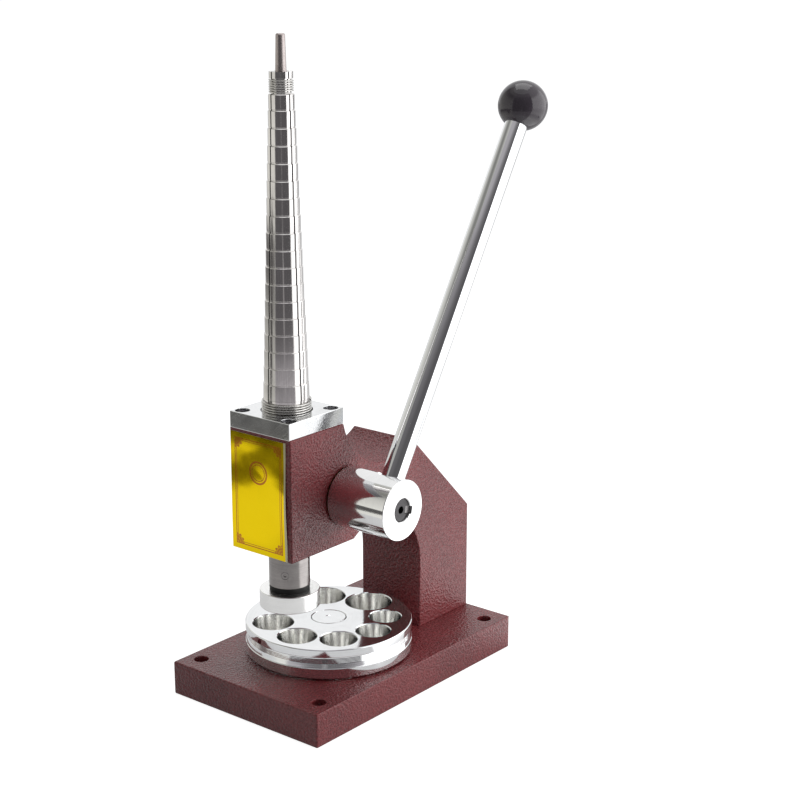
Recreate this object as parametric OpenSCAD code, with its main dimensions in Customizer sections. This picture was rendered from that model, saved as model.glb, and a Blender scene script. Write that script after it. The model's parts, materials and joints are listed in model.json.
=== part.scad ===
// Bench ring stretcher and reducer, in millimetres.
// +X is the lever's side, -Y the label's side, +Z up; the origin is the centre of the base's underside.
// The lever turns a pinion, the pinion drives a rack on the ram. The ram presses rings into the die
// plate below, and carries the tapered rod that spreads the four mandrel segments above.

/* [Base plate] */
// Width of the base, left to right
base_w = 100; // [94:1:120]
// Length of the base, front to back
base_l = 160; // [156:1:200]
// Thickness of the base
base_t = 18; // [16:0.5:24]
// Diameter of the four bench-bolt holes
base_hole_d = 7.5; // [5:0.5:9]
// Distance of those holes from the base's sides
base_hole_side = 9; // [7:0.5:12]
// Distance of those holes from the base's ends
base_hole_end = 11.5; // [8:0.5:14]

/* [Frame casting] */
// Width of the casting, left to right
frame_w = 41; // [38:0.5:50]
// Depth of the head, front to back
head_d = 40; // [38:0.5:46]
// Height of the head
head_h = 63.4; // [60:0.2:75]
// Height of the head's underside above the base
head_lift = 66; // [64:0.5:80]
// Depth of the column at its foot
column_d = 42.7; // [36:0.1:44]
// Gap between the column and the die plate
column_gap = 7.5; // [5:0.5:10]
// Distance from the column's back face to its ridge
ridge_run = 49; // [44:1:52]
// Height of the ridge above the base
ridge_h = 108.5; // [100:0.5:112]
// Radius of the hollow between the head and the ridge
scoop_r = 35; // [33:0.5:45]
// Radius of the throat's arch
throat_r = 34; // [30:0.5:36]
// Diameter of the bolts that hold the column to the base
frame_bolt_d = 8; // [6:1:10]
// Distance between those bolts
frame_bolt_pitch = 22; // [18:1:24]

/* [Ram and pusher] */
// Diameter of the ram
ram_d = 21; // [20:0.5:22]
// Travel of the ram upwards from rest
ram_rise = 13.6; // [12:0.1:14]
// Height of the pusher's face above the die plate at rest
press_gap = 17; // [14:0.5:20]
// Diameter of the pusher cap
cap_d = 31; // [26:0.5:34]
// Thickness of the pusher cap
cap_t = 9; // [6:0.5:10]
// Diameter of the pusher cap's spigot
cap_spigot_d = 12; // [10:0.5:13]
// Length of the pusher cap's spigot inside the ram
cap_spigot_l = 13.5; // [10:0.5:15]
// Thickness of the black buffer ring
buffer_t = 2.5; // [2:0.5:5]
// Diameter of the cross pin that holds the cap
cap_pin_d = 4; // [2:0.5:5]

/* [Rack and pinion] */
// Module of the teeth
gear_m = 1.5; // [1.4:0.05:1.6]
// Number of teeth on the pinion
pinion_teeth = 17; // [16:1:18]
// Width of the pinion's teeth
pinion_w = 16; // [14:0.5:18]
// Thinning of each tooth at the pitch line
tooth_play = 0.12; // [0.08:0.01:0.2]
// Height of the pinion's axis above the head's underside
pinion_lift = 25.4; // [24:0.2:28]
// Diameter of the pinion shaft
shaft_d = 12; // [10:0.5:13]
// Width and height of the keys
key_s = 4; // [3:0.5:5]

/* [Lever] */
// Diameter of the hub
hub_d = 31; // [30:0.5:36]
// Length of the hub
hub_l = 36; // [32:0.5:44]
// Depth of the shaft's end inside the hub
shaft_recess = 1; // [1:0.5:4]
// Distance from the hub's outer end to the lever rod's axis
rod_inset = 12.5; // [10:0.5:16]
// Diameter of the lever rod
rod_d = 12; // [9:0.5:13]
// Distance from the pinion's axis to the ball's centre
lever_l = 220; // [180:5:260]
// Lean of the lever behind the vertical at rest
lever_lean = 31.2; // [20:0.2:40]
// Diameter of the ball knob
ball_d = 26; // [22:0.5:32]

/* [Mandrel] */
// Diameter of the smallest step
step_first_d = 12.6; // [12:0.1:14]
// Growth of each step's diameter
step_growth = 0.6; // [0.5:0.05:0.7]
// Number of steps
step_count = 18; // [14:1:19]
// Height of each step
step_h = 8.35; // [7:0.05:9]
// Height of the smallest step
step_first_h = 7.6; // [6:0.1:9]
// Depth of the line turned between two steps
line_depth = 0.15; // [0.1:0.01:0.25]
// Height of that line
line_h = 0.5; // [0.3:0.05:0.8]
// Distance of the top ring's side behind the smallest step's
crown_inset = 0.5; // [0:0.05:0.6]
// Height of the top ring
crown_h = 3.3; // [2:0.1:5]
// Depth of the groove that holds the upper spring
neck_depth = 1.4; // [0.9:0.05:1.6]
// Width of the slits between the segments
slit_w = 0.8; // [0.8:0.05:1.4]
// Turn of the slits about the mandrel's axis
slit_turn = -8; // [-20:1:20]
// Reach of the segments' feet past the top plate's hole
foot_ledge = 2.5; // [2:0.1:3]
// Thickness of the segments' feet
foot_t = 4; // [3:0.25:4.5]

/* [Draw rod] */
// Diameter of the rod's tip
tip_d = 4.5; // [4:0.1:5]
// Growth of the rod's diameter for each millimetre down
rod_taper = 0.052; // [0.04:0.001:0.054]
// Length of rod that stands out of the mandrel at rest
tip_out = 17.5; // [17:0.5:24]
// Play between the rod and the segments
rod_play = 0.15; // [0.12:0.01:0.3]
// Diameter of the thread that holds the rod in the ram
rod_thread_d = 10; // [8:0.5:10.5]
// Length of that thread
rod_thread_l = 14; // [10:0.5:18]

/* [Band springs] */
// Thickness of the springs' wire
wire_d = 0.8; // [0.6:0.05:0.9]
// Gap between the turns of the wire
wire_gap = 0.45; // [0.42:0.01:0.6]
// Turns of the upper spring
upper_turns = 5; // [3:0.5:5]
// Turns of the lower spring
lower_turns = 4; // [3:0.5:4]

/* [Top plate] */
// Thickness of the top plate's wall round the segments' feet
plate_wall = 3.3; // [2.5:0.1:4]
// Thickness of the top plate
plate_t = 8.4; // [8:0.2:12]
// Play between the plate's hole and the mandrel's root
plate_hole_play = 1.6; // [1.2:0.1:2]
// Distance of the plate's screws from its sides
plate_screw_side = 4.5; // [4.2:0.1:5]
// Diameter of the plate's screws
plate_screw_d = 4; // [3:0.5:4]

/* [Die plate] */
// Thickness of the die plate
die_t = 16; // [12:0.5:17]
// Width of the bridges between the dies
die_bridge = 2.35; // [1.5:0.05:4]
// Width of the wall outside the largest die
die_wall = 1.75; // [1.5:0.05:3]
// Number of dies
die_count = 8; // [6:1:8]
// Diameter of the smallest die
die_first_d = 17.2; // [15:0.1:17.5]
// Growth of each die's diameter
die_growth = 1.1; // [0.8:0.05:1.1]
// Slope of the dies' walls
die_slope = 6; // [3:0.5:8]
// Turn of the smallest die at rest
die_turn = 40.5; // [0:0.5:90]
// Depth of the groove round the rim
die_groove = 1.4; // [0.6:0.1:1.5]
// Diameter of the pivot pin's head
pivot_head_d = 18; // [16:0.5:20]
// Diameter of the pivot pin's shoulder
pivot_d = 12; // [10:0.5:13]
// Diameter of the pivot pin's shank in the base
pivot_shank_d = 10; // [8:0.5:10]
// Thickness of the washer under the die plate
die_washer_t = 1; // [0.5:0.1:2]
// Diameter of that washer
die_washer_d = 32; // [28:0.5:33]

/* [Label] */
// Margin left and right of the foil label, on the average
label_side = 1.9; // [1.5:0.1:6]
// Margin below the foil label
label_low = 0.5; // [0.2:0.1:4]
// Margin above the foil label
label_high = 1.5; // [0.5:0.1:6]
// Thickness of the foil label
label_t = 0.3; // [0.2:0.05:0.6]
// Shift of the label from the head's middle
label_shift = -1.1; // [-1.4:0.1:1.4]

/* [Hidden] */
$fn = 96;

// Clearances
running = 0.05;        // radial play of a shaft in its bore
snug = 0.02;           // radial play between parts that are fixed together
slide_gap = 0.1;       // play above and below the segments' feet
bolt_gap = 0.25;       // radial play round a bolt's shank
over = 1;              // how far a cut runs past the face it opens
spring_room = 0.05;    // play at each end of a spring
ram_room = 0.75;       // room above the ram when it is fully up

// Dies
die_last_d = die_first_d + (die_count - 1) * die_growth;
die_circle_r = die_count * ((die_first_d + die_last_d) / 2 + die_bridge) / (2 * PI);
die_r = die_circle_r + die_last_d / 2 + die_wall;

// Frame: the column stands at the back of the base, the die plate in front of it
back_y = base_l / 2;
column_y0 = back_y - column_d;
die_y = column_y0 - column_gap - die_r;
ram_y = die_y - die_circle_r;
head_y0 = ram_y - head_d / 2;
head_y1 = ram_y + head_d / 2;
head_z0 = base_t + head_lift;
head_z1 = head_z0 + head_h;
base_hole_x = base_w / 2 - base_hole_side;
base_hole_y = base_l / 2 - base_hole_end;
ridge_y = back_y - ridge_run;
ridge_z = base_t + ridge_h;
shoulder_z = ridge_z - ridge_run;
throat_y = column_y0 - throat_r;
throat_z = head_z0 + 6.6 - throat_r;
throat_y0 = throat_y - sqrt(pow(throat_r, 2) - pow(head_z0 - throat_z, 2));
frame_bolt_y = [-1, 1] * frame_bolt_pitch / 2 + [1, 1] * (back_y - column_d / 2);
frame_bolt_head_d = 1.625 * frame_bolt_d;
frame_bolt_bite = 2.5 * frame_bolt_d;

// Ram
die_z0 = base_t + die_washer_t + running;
die_z1 = die_z0 + die_t;
cap_z0 = die_z1 + press_gap;
cap_z1 = cap_z0 + cap_t;
ram_z0 = cap_z1 + buffer_t;
ram_z1 = head_z1 - ram_rise - ram_room;
ram_l = ram_z1 - ram_z0;
cap_pin_z = ram_z0 + 0.55 * cap_spigot_l;
cap_pin_turn = -60;

// Rack and pinion
pressure = 20;
gear_step = PI * gear_m;
pitch_r = gear_m * pinion_teeth / 2;
tip_r = pitch_r + gear_m;
tooth_root_r = pitch_r - 1.25 * gear_m;
base_r = pitch_r * cos(pressure);
rack_in = ram_d / 2 - 2.5;       // pitch line's distance behind the ram's axis
rack_tip = 0.9 * gear_m;
rack_root = 1.25 * gear_m;
pinion_y = ram_y + rack_in + pitch_r;
pinion_z = head_z0 + pinion_lift;
rack_teeth = 9;
rack_turn = 180 + 180 / pinion_teeth;
cross_bore_r = tip_r + 0.5;
pinion_side_gap = 0.5;

// Shaft and lever
side_x = frame_w / 2;
washer_t = 0.95;
hub_x0 = side_x + running + washer_t;
hub_x1 = hub_x0 + hub_l;
shaft_x1 = hub_x1 - shaft_recess;
ring_t = 1.2;
ring_x1 = -side_x - running - washer_t - running;
shaft_x0 = ring_x1 - ring_t - 2;
hub_washer_d = 24;
end_washer_d = 22;
ring_d = 18;
ring_groove_d = shaft_d - 2;
key_depth = 0.625 * key_s;
key_turn = -12;
hub_key_l = 14;
hub_key_x1 = shaft_x1 - 0.5;
pinion_key_l = pinion_w - 2;
rod_x = hub_x1 - rod_inset;
seat_r = hub_d / 2 - 1.9;        // lever rod's seat, from the pinion's axis
seat_d = rod_d + 4;
rod_end_d = rod_d - 2;
rod_end_r = shaft_d / 2 + 0.4;
ball_flat = sqrt(pow(ball_d / 2, 2) - pow(rod_d / 2 + 0.5, 2));
ball_thread_d = rod_d - 4;
ball_thread_l = ball_d / 2;
grub_d = 6;
grub_l = (hub_d - shaft_d) / 2 - 1.5;
grub_x = hub_x0 + 7;
grub_turn = -150;

// Top plate
plate_z1 = head_z1 + plate_t;
root_r = step_r(0);
plate_hole_r = root_r + plate_hole_play;
foot_r = plate_hole_r + foot_ledge;
pocket_r = foot_r + 1.2;
plate_w = 2 * (pocket_r + plate_wall);
pocket_h = foot_t + 2 * slide_gap;
plate_head_d = 1.75 * plate_screw_d;
plate_head_t = plate_screw_d;
plate_sink = plate_head_t + 1.2;
plate_screw_bite = 2 * plate_screw_d;
plate_screw_xy = [for (sx = [-1, 1], sy = [-1, 1])
    [0, ram_y] + (plate_w / 2 - plate_screw_side) * [sx, sy]];

// Mandrel
foot_z0 = head_z1 + slide_gap;
foot_z1 = foot_z0 + foot_t;
wire_pitch = wire_d + wire_gap;
root_h = lower_turns * wire_pitch + wire_d + 2 * spring_room;
neck_h = upper_turns * wire_pitch + wire_d + 2 * spring_room;
neck_r = step_first_d / 2 - neck_depth;
crown_r = step_first_d / 2 - crown_inset;
root_z1 = plate_z1 + root_h;
neck_z0 = root_z1 + (step_count - 1) * step_h + step_first_h;
neck_z1 = neck_z0 + neck_h;
crown_z1 = neck_z1 + crown_h;
tip_z = crown_z1 + tip_out;
rod_bevel = 0.5;

// Die plate
die_rim_t = 4.2;
die_flange_t = 5.5;
pivot_head_t = 5;
pivot_gap = 0.15;
pivot_grip = base_t - 4;
die_mouth = 0.3;         // bevel at a die's mouth

// Radius of step i, counted up from the root
function step_r(i) = (step_first_d + (step_count - 1 - i) * step_growth) / 2;
// Height of the foot of step i
function step_z(i) = root_z1 + i * step_h;
// Radius of the draw rod at height z, at rest
function rod_r(z) = (tip_d + (tip_z - z) * rod_taper) / 2;
// Radius of the segments' bore at height z
function bore_r(z) = rod_r(z) + rod_play;
// Diameter of die i at the plate's top, smallest first
function die_top_d(i) = die_first_d + i * die_growth;
// Angle of die i: the bridges between neighbours are all of one width
function die_angle(i) = i == 0 ? die_turn
    : die_angle(i - 1) - ((die_top_d(i) + die_top_d(i - 1)) / 2 + die_bridge)
      / die_circle_r * 180 / PI;
// Centre of the circle of radius r through a and b, on the left of the way from a to b
function arc_centre(a, b, r) =
    let (m = (a + b) / 2, h = norm(b - a) / 2, n = [a[1] - b[1], b[0] - a[0]] / (2 * h))
    m + n * sqrt(r * r - h * h);

// Angle in degrees that an involute has turned where its radius is r
function involute(r) = let (t = sqrt(max(0, pow(r / base_r, 2) - 1))) t * 180 / PI - atan(t);
// Half the angle that a pinion tooth fills at radius r
function tooth_half(r) = (gear_step / 2 - tooth_play) / (2 * pitch_r) * 180 / PI
    + involute(pitch_r) - involute(max(r, base_r));
function polar(r, a) = [r * cos(a), r * sin(a)];
flank_radii = concat([tooth_root_r], [for (k = [0 : 5]) base_r + (tip_r - base_r) * k / 5]);

// Points of a closed tube: rings of 6 round the middles, joined by triangles
tube_sides = 6;
turn_rings = 24;
function coil_angle(i, turns) = max(0, min(turns * turn_rings, i)) * 360 / turn_rings;
function coil_middle(i, r, turns) =
    let (a = coil_angle(i, turns),
         past = i < 0 ? -wire_d : i > turns * turn_rings ? wire_d : 0)
    [r * cos(a) - past * sin(a), r * sin(a) + past * cos(a), a / 360 * wire_pitch];
function coil_points(r, turns) = [
    for (i = [-1 : turns * turn_rings + 1], s = [0 : tube_sides - 1])
        let (a = coil_angle(i, turns), b = s * 360 / tube_sides)
        coil_middle(i, r, turns)
            + wire_d / 2 * [cos(b) * cos(a), cos(b) * sin(a), sin(b)]];
function tube_faces(rings) = concat(
    [for (k = [1 : tube_sides - 2]) [0, k, k + 1]],
    [for (k = [1 : tube_sides - 2]) let (e = (rings - 1) * tube_sides) [e, e + k + 1, e + k]],
    [for (i = [0 : rings - 2], s = [0 : tube_sides - 1])
        let (a = i * tube_sides + s, b = i * tube_sides + (s + 1) % tube_sides)
        [a, a + tube_sides, b]],
    [for (i = [0 : rings - 2], s = [0 : tube_sides - 1])
        let (a = i * tube_sides + s, b = i * tube_sides + (s + 1) % tube_sides)
        [b, a + tube_sides, b + tube_sides]]);
// Least gap between a coil's turns, measured on its rings' points
function coil_gap(r, turns) =
    let (p = coil_points(r, turns), t = tube_sides * turn_rings)
    min([for (i = [0 : tube_sides : len(p) - t - tube_sides])
        min([for (a = [0 : tube_sides - 1], b = [0 : tube_sides - 1])
            norm(p[i + a] - p[i + t + b])])]);

module coil(r, turns) {
    polyhedron(coil_points(r, turns), tube_faces(turns * turn_rings + 3));
    echo(str("least gap between turns: ", coil_gap(r, turns), " mm"));
}

// Cylinder along +X from x0 to x1
module bar_x(d, x0, x1) {
    translate([x0, 0, 0]) rotate([0, 90, 0]) cylinder(h = x1 - x0, d = d);
}
// Washer along +X from x0 to x1
module washer_x(d, bore, x0, x1) {
    difference() {
        bar_x(d, x0, x1);
        bar_x(bore, x0 - over, x1 + over);
    }
}
// Moves its children to the pinion's axis
module at_pinion() { translate([0, pinion_y, pinion_z]) children(); }
// Moves its children to the ram's axis
module at_ram() { translate([0, ram_y, 0]) children(); }
// Turns its children so that +Z becomes the lever's direction
module along_lever() { at_pinion() rotate([-lever_lean, 0, 0]) children(); }
// Hexagon socket, across flats af, cut downwards from z = 0
module hex_socket(af, depth) {
    translate([0, 0, -depth]) cylinder(h = depth + over, d = af / cos(30), $fn = 6);
}
// Socket-head screw with the underside of its head at z = 0 and its shank downwards
module socket_screw(d, head_d, head_t, shank_l) {
    difference() {
        union() {
            cylinder(h = head_t, d = head_d);
            translate([0, 0, -shank_l]) cylinder(h = shank_l + head_t / 2, d = d);
        }
        translate([0, 0, head_t]) hex_socket(0.75 * d, head_t / 2);
    }
}

module base_plate() {
    color([0.29, 0.13, 0.15]) difference() {
        translate([-base_w / 2, -base_l / 2, 0]) cube([base_w, base_l, base_t]);
        for (sx = [-1, 1], sy = [-1, 1])
            translate([sx * base_hole_x, sy * base_hole_y, -over])
                cylinder(h = base_t + 2 * over, d = base_hole_d);
        for (y = frame_bolt_y) translate([0, y, -over]) {
            cylinder(h = base_t + 2 * over, d = frame_bolt_d + 2 * bolt_gap);
            cylinder(h = frame_bolt_d + 1 + over, d = frame_bolt_head_d + 4 * bolt_gap);
        }
        translate([0, die_y, base_t - pivot_grip - snug])
            cylinder(h = pivot_grip + snug + over, d = pivot_shank_d + 2 * snug);
    }
}

// Side outline of the casting: x is front to back, y is up
module frame_outline() {
    hollow = arc_centre([head_y1, head_z1], [ridge_y, ridge_z], scoop_r);
    difference() {
        polygon([[head_y0, head_z0], [throat_y0, head_z0], [column_y0, throat_z],
                 [column_y0, base_t], [back_y, base_t], [back_y, shoulder_z],
                 [ridge_y, ridge_z], [head_y1, head_z1], [head_y0, head_z1]]);
        translate(hollow) circle(r = scoop_r);
        translate([throat_y, throat_z]) circle(r = throat_r);
    }
}

module ram_bore() {
    at_ram() translate([0, 0, head_z0 - over])
        cylinder(h = head_h + 2 * over, d = ram_d + 2 * running);
}

module c_frame() {
    color([0.29, 0.13, 0.15]) difference() {
        translate([-frame_w / 2, 0, 0]) rotate([90, 0, 90])
            linear_extrude(frame_w) frame_outline();
        ram_bore();
        at_pinion() bar_x(2 * cross_bore_r, -side_x - over, side_x + over);
        for (p = plate_screw_xy)
            translate([p[0], p[1], head_z1 - plate_screw_bite - snug])
                cylinder(h = plate_screw_bite + over, d = plate_screw_d + 2 * snug);
        for (y = frame_bolt_y)
            translate([0, y, base_t - over])
                cylinder(h = frame_bolt_bite + over + snug, d = frame_bolt_d + 2 * snug);
    }
}

module frame_bolts() {
    color([0.16, 0.16, 0.17]) for (y = frame_bolt_y)
        translate([0, y, frame_bolt_d + 1]) rotate([180, 0, 0])
            socket_screw(frame_bolt_d, frame_bolt_head_d, frame_bolt_d,
                         base_t - frame_bolt_d - 1 + frame_bolt_bite);
}

module top_plate() {
    color([0.8, 0.81, 0.83]) difference() {
        translate([-plate_w / 2, ram_y - plate_w / 2, head_z1])
            cube([plate_w, plate_w, plate_t]);
        at_ram() translate([0, 0, head_z1 - over]) {
            cylinder(h = plate_t + 2 * over, r = plate_hole_r);
            cylinder(h = pocket_h + over, r = pocket_r);
        }
        for (p = plate_screw_xy) translate([p[0], p[1], 0]) {
            translate([0, 0, head_z1 - over])
                cylinder(h = plate_t + 2 * over, d = plate_screw_d + 2 * bolt_gap);
            translate([0, 0, plate_z1 - plate_sink])
                cylinder(h = plate_sink + over, d = plate_head_d + 2 * bolt_gap);
        }
    }
}

module plate_screws() {
    color([0.2, 0.2, 0.21]) for (p = plate_screw_xy)
        translate([p[0], p[1], plate_z1 - plate_sink])
            socket_screw(plate_screw_d, plate_head_d, plate_head_t,
                         plate_t - plate_sink + plate_screw_bite);
}

module foil_label() {
    color([0.86, 0.7, 0.05])
        translate([label_shift - side_x + label_side, head_y0 - label_t, head_z0 + label_low])
            cube([frame_w - 2 * label_side, label_t, head_h - label_low - label_high]);
}

module die_pivot_pin() {
    color([0.82, 0.83, 0.85]) translate([0, die_y, 0]) difference() {
        union() {
            translate([0, 0, base_t - pivot_grip])
                cylinder(h = pivot_grip + over, d = pivot_shank_d);
            translate([0, 0, base_t])
                cylinder(h = die_z1 - pivot_head_t - base_t + over, d = pivot_d);
            translate([0, 0, die_z1 - pivot_head_t])
                cylinder(h = pivot_head_t, d = pivot_head_d);
        }
        translate([0, 0, die_z1 - 0.8]) cylinder(h = 0.8 + over, d1 = 0.2, d2 = 3.8);
    }
}

module die_washer() {
    color([0.75, 0.6, 0.3]) translate([0, die_y, base_t]) difference() {
        cylinder(h = die_washer_t, d = die_washer_d);
        translate([0, 0, -over])
            cylinder(h = die_washer_t + 2 * over, d = pivot_d + 2 * running);
    }
}

module die_plate() {
    rim_r = die_r;
    groove_z1 = die_z1 - die_rim_t;
    color([0.8, 0.81, 0.83]) translate([0, die_y, 0]) difference() {
        rotate_extrude() polygon([
            [0, die_z0], [rim_r - 0.4, die_z0], [rim_r, die_z0 + 0.4],
            [rim_r, die_z0 + die_flange_t], [rim_r - 0.3, die_z0 + die_flange_t + 0.3],
            [rim_r - die_groove, groove_z1 - 0.6], [rim_r - die_groove, groove_z1],
            [rim_r, groove_z1], [rim_r, die_z1 - 0.3], [rim_r - 0.3, die_z1], [0, die_z1]]);
        translate([0, 0, die_z0 - over])
            cylinder(h = die_t + 2 * over, d = pivot_d + 2 * running);
        translate([0, 0, die_z1 - pivot_head_t - pivot_gap])
            cylinder(h = pivot_head_t + pivot_gap + over, d = pivot_head_d + 4 * pivot_gap);
        for (i = [0 : die_count - 1])
            rotate([0, 0, die_angle(i)]) translate([die_circle_r, 0, die_z1])
                die_hole(die_top_d(i) / 2);
    }
}

// Tapered hole with a small bevel at its mouth, downwards from z = 0
module die_hole(r) {
    fall = die_t + over;
    translate([0, 0, -fall]) cylinder(h = fall, r1 = r - fall * tan(die_slope), r2 = r);
    translate([0, 0, -die_mouth]) cylinder(h = die_mouth + over, r1 = r, r2 = r + die_mouth + over);
}

// Bush between x0 and x1; the ram's bore runs on through its front
module bearing_bush(x0, x1) {
    color([0.72, 0.55, 0.26]) difference() {
        at_pinion() washer_x(2 * (cross_bore_r - snug), shaft_d + 2 * running, x0, x1);
        ram_bore();
    }
}
module bearing_bush_right() { bearing_bush(pinion_w / 2 + pinion_side_gap, side_x); }
module bearing_bush_left() { bearing_bush(-side_x, -pinion_w / 2 - pinion_side_gap); }

module drive_pinion() {
    tooth_points = [for (k = [0 : pinion_teeth - 1])
        let (mid = rack_turn + k * 360 / pinion_teeth)
        each concat([for (r = flank_radii) polar(r, mid - tooth_half(r))],
                    [for (j = [1 : len(flank_radii)])
                        let (r = flank_radii[len(flank_radii) - j])
                        polar(r, mid + tooth_half(r))])];
    color([0.5, 0.5, 0.52]) at_pinion() difference() {
        translate([-pinion_w / 2, 0, 0]) rotate([90, 0, 90])
            linear_extrude(pinion_w) polygon(tooth_points);
        bar_x(shaft_d + 2 * snug, -pinion_w, pinion_w);
        key_block(-pinion_w, pinion_w, snug);
    }
}

// Space that a key fills, from x0 to x1, with play g all round
module key_block(x0, x1, g) {
    rotate([key_turn, 0, 0])
        translate([x0, shaft_d / 2 - key_depth - g, -key_s / 2 - g])
            cube([x1 - x0, key_s + 2 * g, key_s + 2 * g]);
}

module pinion_key() {
    color([0.45, 0.45, 0.47]) at_pinion()
        key_block(-pinion_key_l / 2, pinion_key_l / 2, 0);
}

module hub_key() {
    color([0.45, 0.45, 0.47]) at_pinion()
        key_block(hub_key_x1 - hub_key_l, hub_key_x1, 0);
}

module pinion_shaft() {
    color([0.4, 0.4, 0.42]) at_pinion() difference() {
        bar_x(shaft_d, shaft_x0, shaft_x1);
        key_block(-pinion_key_l / 2 - snug, pinion_key_l / 2 + snug, snug);
        key_block(hub_key_x1 - hub_key_l - snug, shaft_x1 + over, snug);
        washer_x(shaft_d + over, ring_groove_d, ring_x1 - ring_t - snug, ring_x1 + snug);
        bar_x(3.7, shaft_x1 - 4, shaft_x1 + over);
    }
}

module hub_washer() {
    color([0.3, 0.3, 0.31]) at_pinion()
        washer_x(hub_washer_d, shaft_d + 2 * running, side_x + running, hub_x0);
}

module lever_hub() {
    color([0.83, 0.84, 0.86]) difference() {
        at_pinion() difference() {
            bar_x(hub_d, hub_x0, hub_x1);
            bar_x(shaft_d + 2 * snug, hub_x0 - over, hub_x1 + over);
            key_block(hub_x0 - over, hub_x1 + over, snug);
        }
        along_lever() {
            translate([rod_x, 0, seat_r]) cylinder(h = hub_d, d = seat_d);
            translate([rod_x, 0, 0]) cylinder(h = hub_d, d = rod_end_d + 2 * snug);
        }
        at_grub() cylinder(h = hub_d, d = grub_d + 2 * snug);
    }
}

// Puts its children's +Z along the set screw's hole
module at_grub() { at_pinion() translate([grub_x, 0, 0]) rotate([grub_turn, 0, 0]) children(); }

module hub_set_screw() {
    color([0.18, 0.18, 0.19]) at_grub() translate([0, 0, shaft_d / 2]) difference() {
        cylinder(h = grub_l, d = grub_d);
        translate([0, 0, grub_l]) hex_socket(grub_d / 2, grub_d / 2);
    }
}

module lever_rod() {
    color([0.83, 0.84, 0.86]) along_lever() translate([rod_x, 0, 0]) {
        translate([0, 0, rod_end_r])
            cylinder(h = seat_r - rod_end_r + over, d = rod_end_d);
        translate([0, 0, seat_r])
            cylinder(h = lever_l - ball_flat - seat_r, d = rod_d);
        translate([0, 0, lever_l - ball_flat - over])
            cylinder(h = ball_thread_l + over, d = ball_thread_d);
    }
}

module ball_knob() {
    color([0.05, 0.05, 0.055]) along_lever() translate([rod_x, 0, lever_l]) difference() {
        sphere(d = ball_d);
        translate([0, 0, -ball_d - ball_flat + snug])
            cylinder(h = ball_d, d = ball_d);
        translate([0, 0, -ball_d])
            cylinder(h = ball_d - ball_flat + ball_thread_l + snug, d = ball_thread_d + 2 * snug);
    }
}

module end_washer() {
    color([0.6, 0.6, 0.62]) at_pinion()
        washer_x(end_washer_d, shaft_d + 2 * running, -side_x - running - washer_t, -side_x - running);
}

// Retaining ring with its opening at the front
module retaining_ring() {
    color([0.25, 0.25, 0.26]) at_pinion() difference() {
        washer_x(ring_d, ring_groove_d + 2 * snug, ring_x1 - ring_t, ring_x1);
        translate([ring_x1 - ring_t - over, -ring_d, -ring_groove_d / 4])
            cube([ring_t + 2 * over, ring_d, ring_groove_d / 2]);
    }
}

// Tooth spaces of the rack, in side view: x is front to back from the pitch line, y is up
module rack_spaces() {
    half = gear_step / 4 + tooth_play / 2;
    inner = half - rack_root * tan(pressure);
    mouth = rack_tip + 2;
    outer = half + mouth * tan(pressure);
    for (k = [-rack_teeth : rack_teeth])
        translate([0, (k + 0.5) * gear_step])
            polygon([[-rack_root, -inner], [mouth, -outer], [mouth, outer], [-rack_root, inner]]);
}

module ram() {
    rack_y = ram_y + rack_in;
    rack_z0 = pinion_z - (rack_teeth + 1) * gear_step / 2;
    color([0.66, 0.67, 0.69]) difference() {
        at_ram() translate([0, 0, ram_z0]) cylinder(h = ram_l, d = ram_d);
        intersection() {
            translate([-ram_d, 0, 0]) rotate([90, 0, 90])
                linear_extrude(2 * ram_d) union() {
                    translate([rack_y, pinion_z]) rack_spaces();
                    translate([rack_y + rack_tip, 0]) square([ram_d, 2 * ram_z1]);
                }
            translate([-ram_d, ram_y, rack_z0]) cube([2 * ram_d, 2 * ram_d, ram_z1]);
        }
        at_ram() translate([0, 0, ram_z0 - over])
            cylinder(h = cap_spigot_l + snug + over, d = cap_spigot_d + 2 * snug);
        at_ram() translate([0, 0, ram_z1 - rod_thread_l - snug])
            cylinder(h = rod_thread_l + snug + over, d = rod_thread_d + 2 * snug);
        cap_pin_bore();
    }
}

module draw_rod() {
    shank_r = rod_r(head_z1);
    color([0.42, 0.38, 0.36]) at_ram() rotate_extrude() polygon([
        [0, ram_z1 - rod_thread_l], [rod_thread_d / 2, ram_z1 - rod_thread_l],
        [rod_thread_d / 2, ram_z1], [shank_r, ram_z1], [shank_r, head_z1],
        [rod_r(tip_z - rod_bevel), tip_z - rod_bevel], [tip_d / 2 - rod_bevel, tip_z], [0, tip_z]]);
}

module buffer_ring() {
    color([0.04, 0.04, 0.04]) at_ram() difference() {
        translate([0, 0, cap_z1]) cylinder(h = buffer_t, d = ram_d);
        translate([0, 0, cap_z1 - over])
            cylinder(h = buffer_t + 2 * over, d = cap_spigot_d + 2 * snug);
    }
}

module pusher_cap() {
    color([0.78, 0.78, 0.79]) difference() {
        at_ram() rotate_extrude() polygon([
            [0, cap_z0], [cap_d / 2 - 0.6, cap_z0], [cap_d / 2, cap_z0 + 0.6],
            [cap_d / 2, cap_z1 - 0.6], [cap_d / 2 - 0.6, cap_z1], [cap_spigot_d / 2, cap_z1],
            [cap_spigot_d / 2, ram_z0 + cap_spigot_l], [0, ram_z0 + cap_spigot_l]]);
        cap_pin_bore();
    }
}

module cap_pin_bore() {
    at_ram() translate([0, 0, cap_pin_z]) rotate([0, 0, cap_pin_turn])
        bar_x(cap_pin_d + 2 * snug, -ram_d, ram_d);
}

// Cross pin, a little shorter than the ram is thick, with a centre mark in its end
module cap_pin() {
    end_x = ram_d / 2 - 0.15;
    color([0.5, 0.5, 0.5]) at_ram() translate([0, 0, cap_pin_z]) rotate([0, 0, cap_pin_turn])
        difference() {
            bar_x(cap_pin_d, -end_x, end_x);
            bar_x(cap_pin_d / 3, end_x - 0.6, end_x + over);
        }
}

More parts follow.
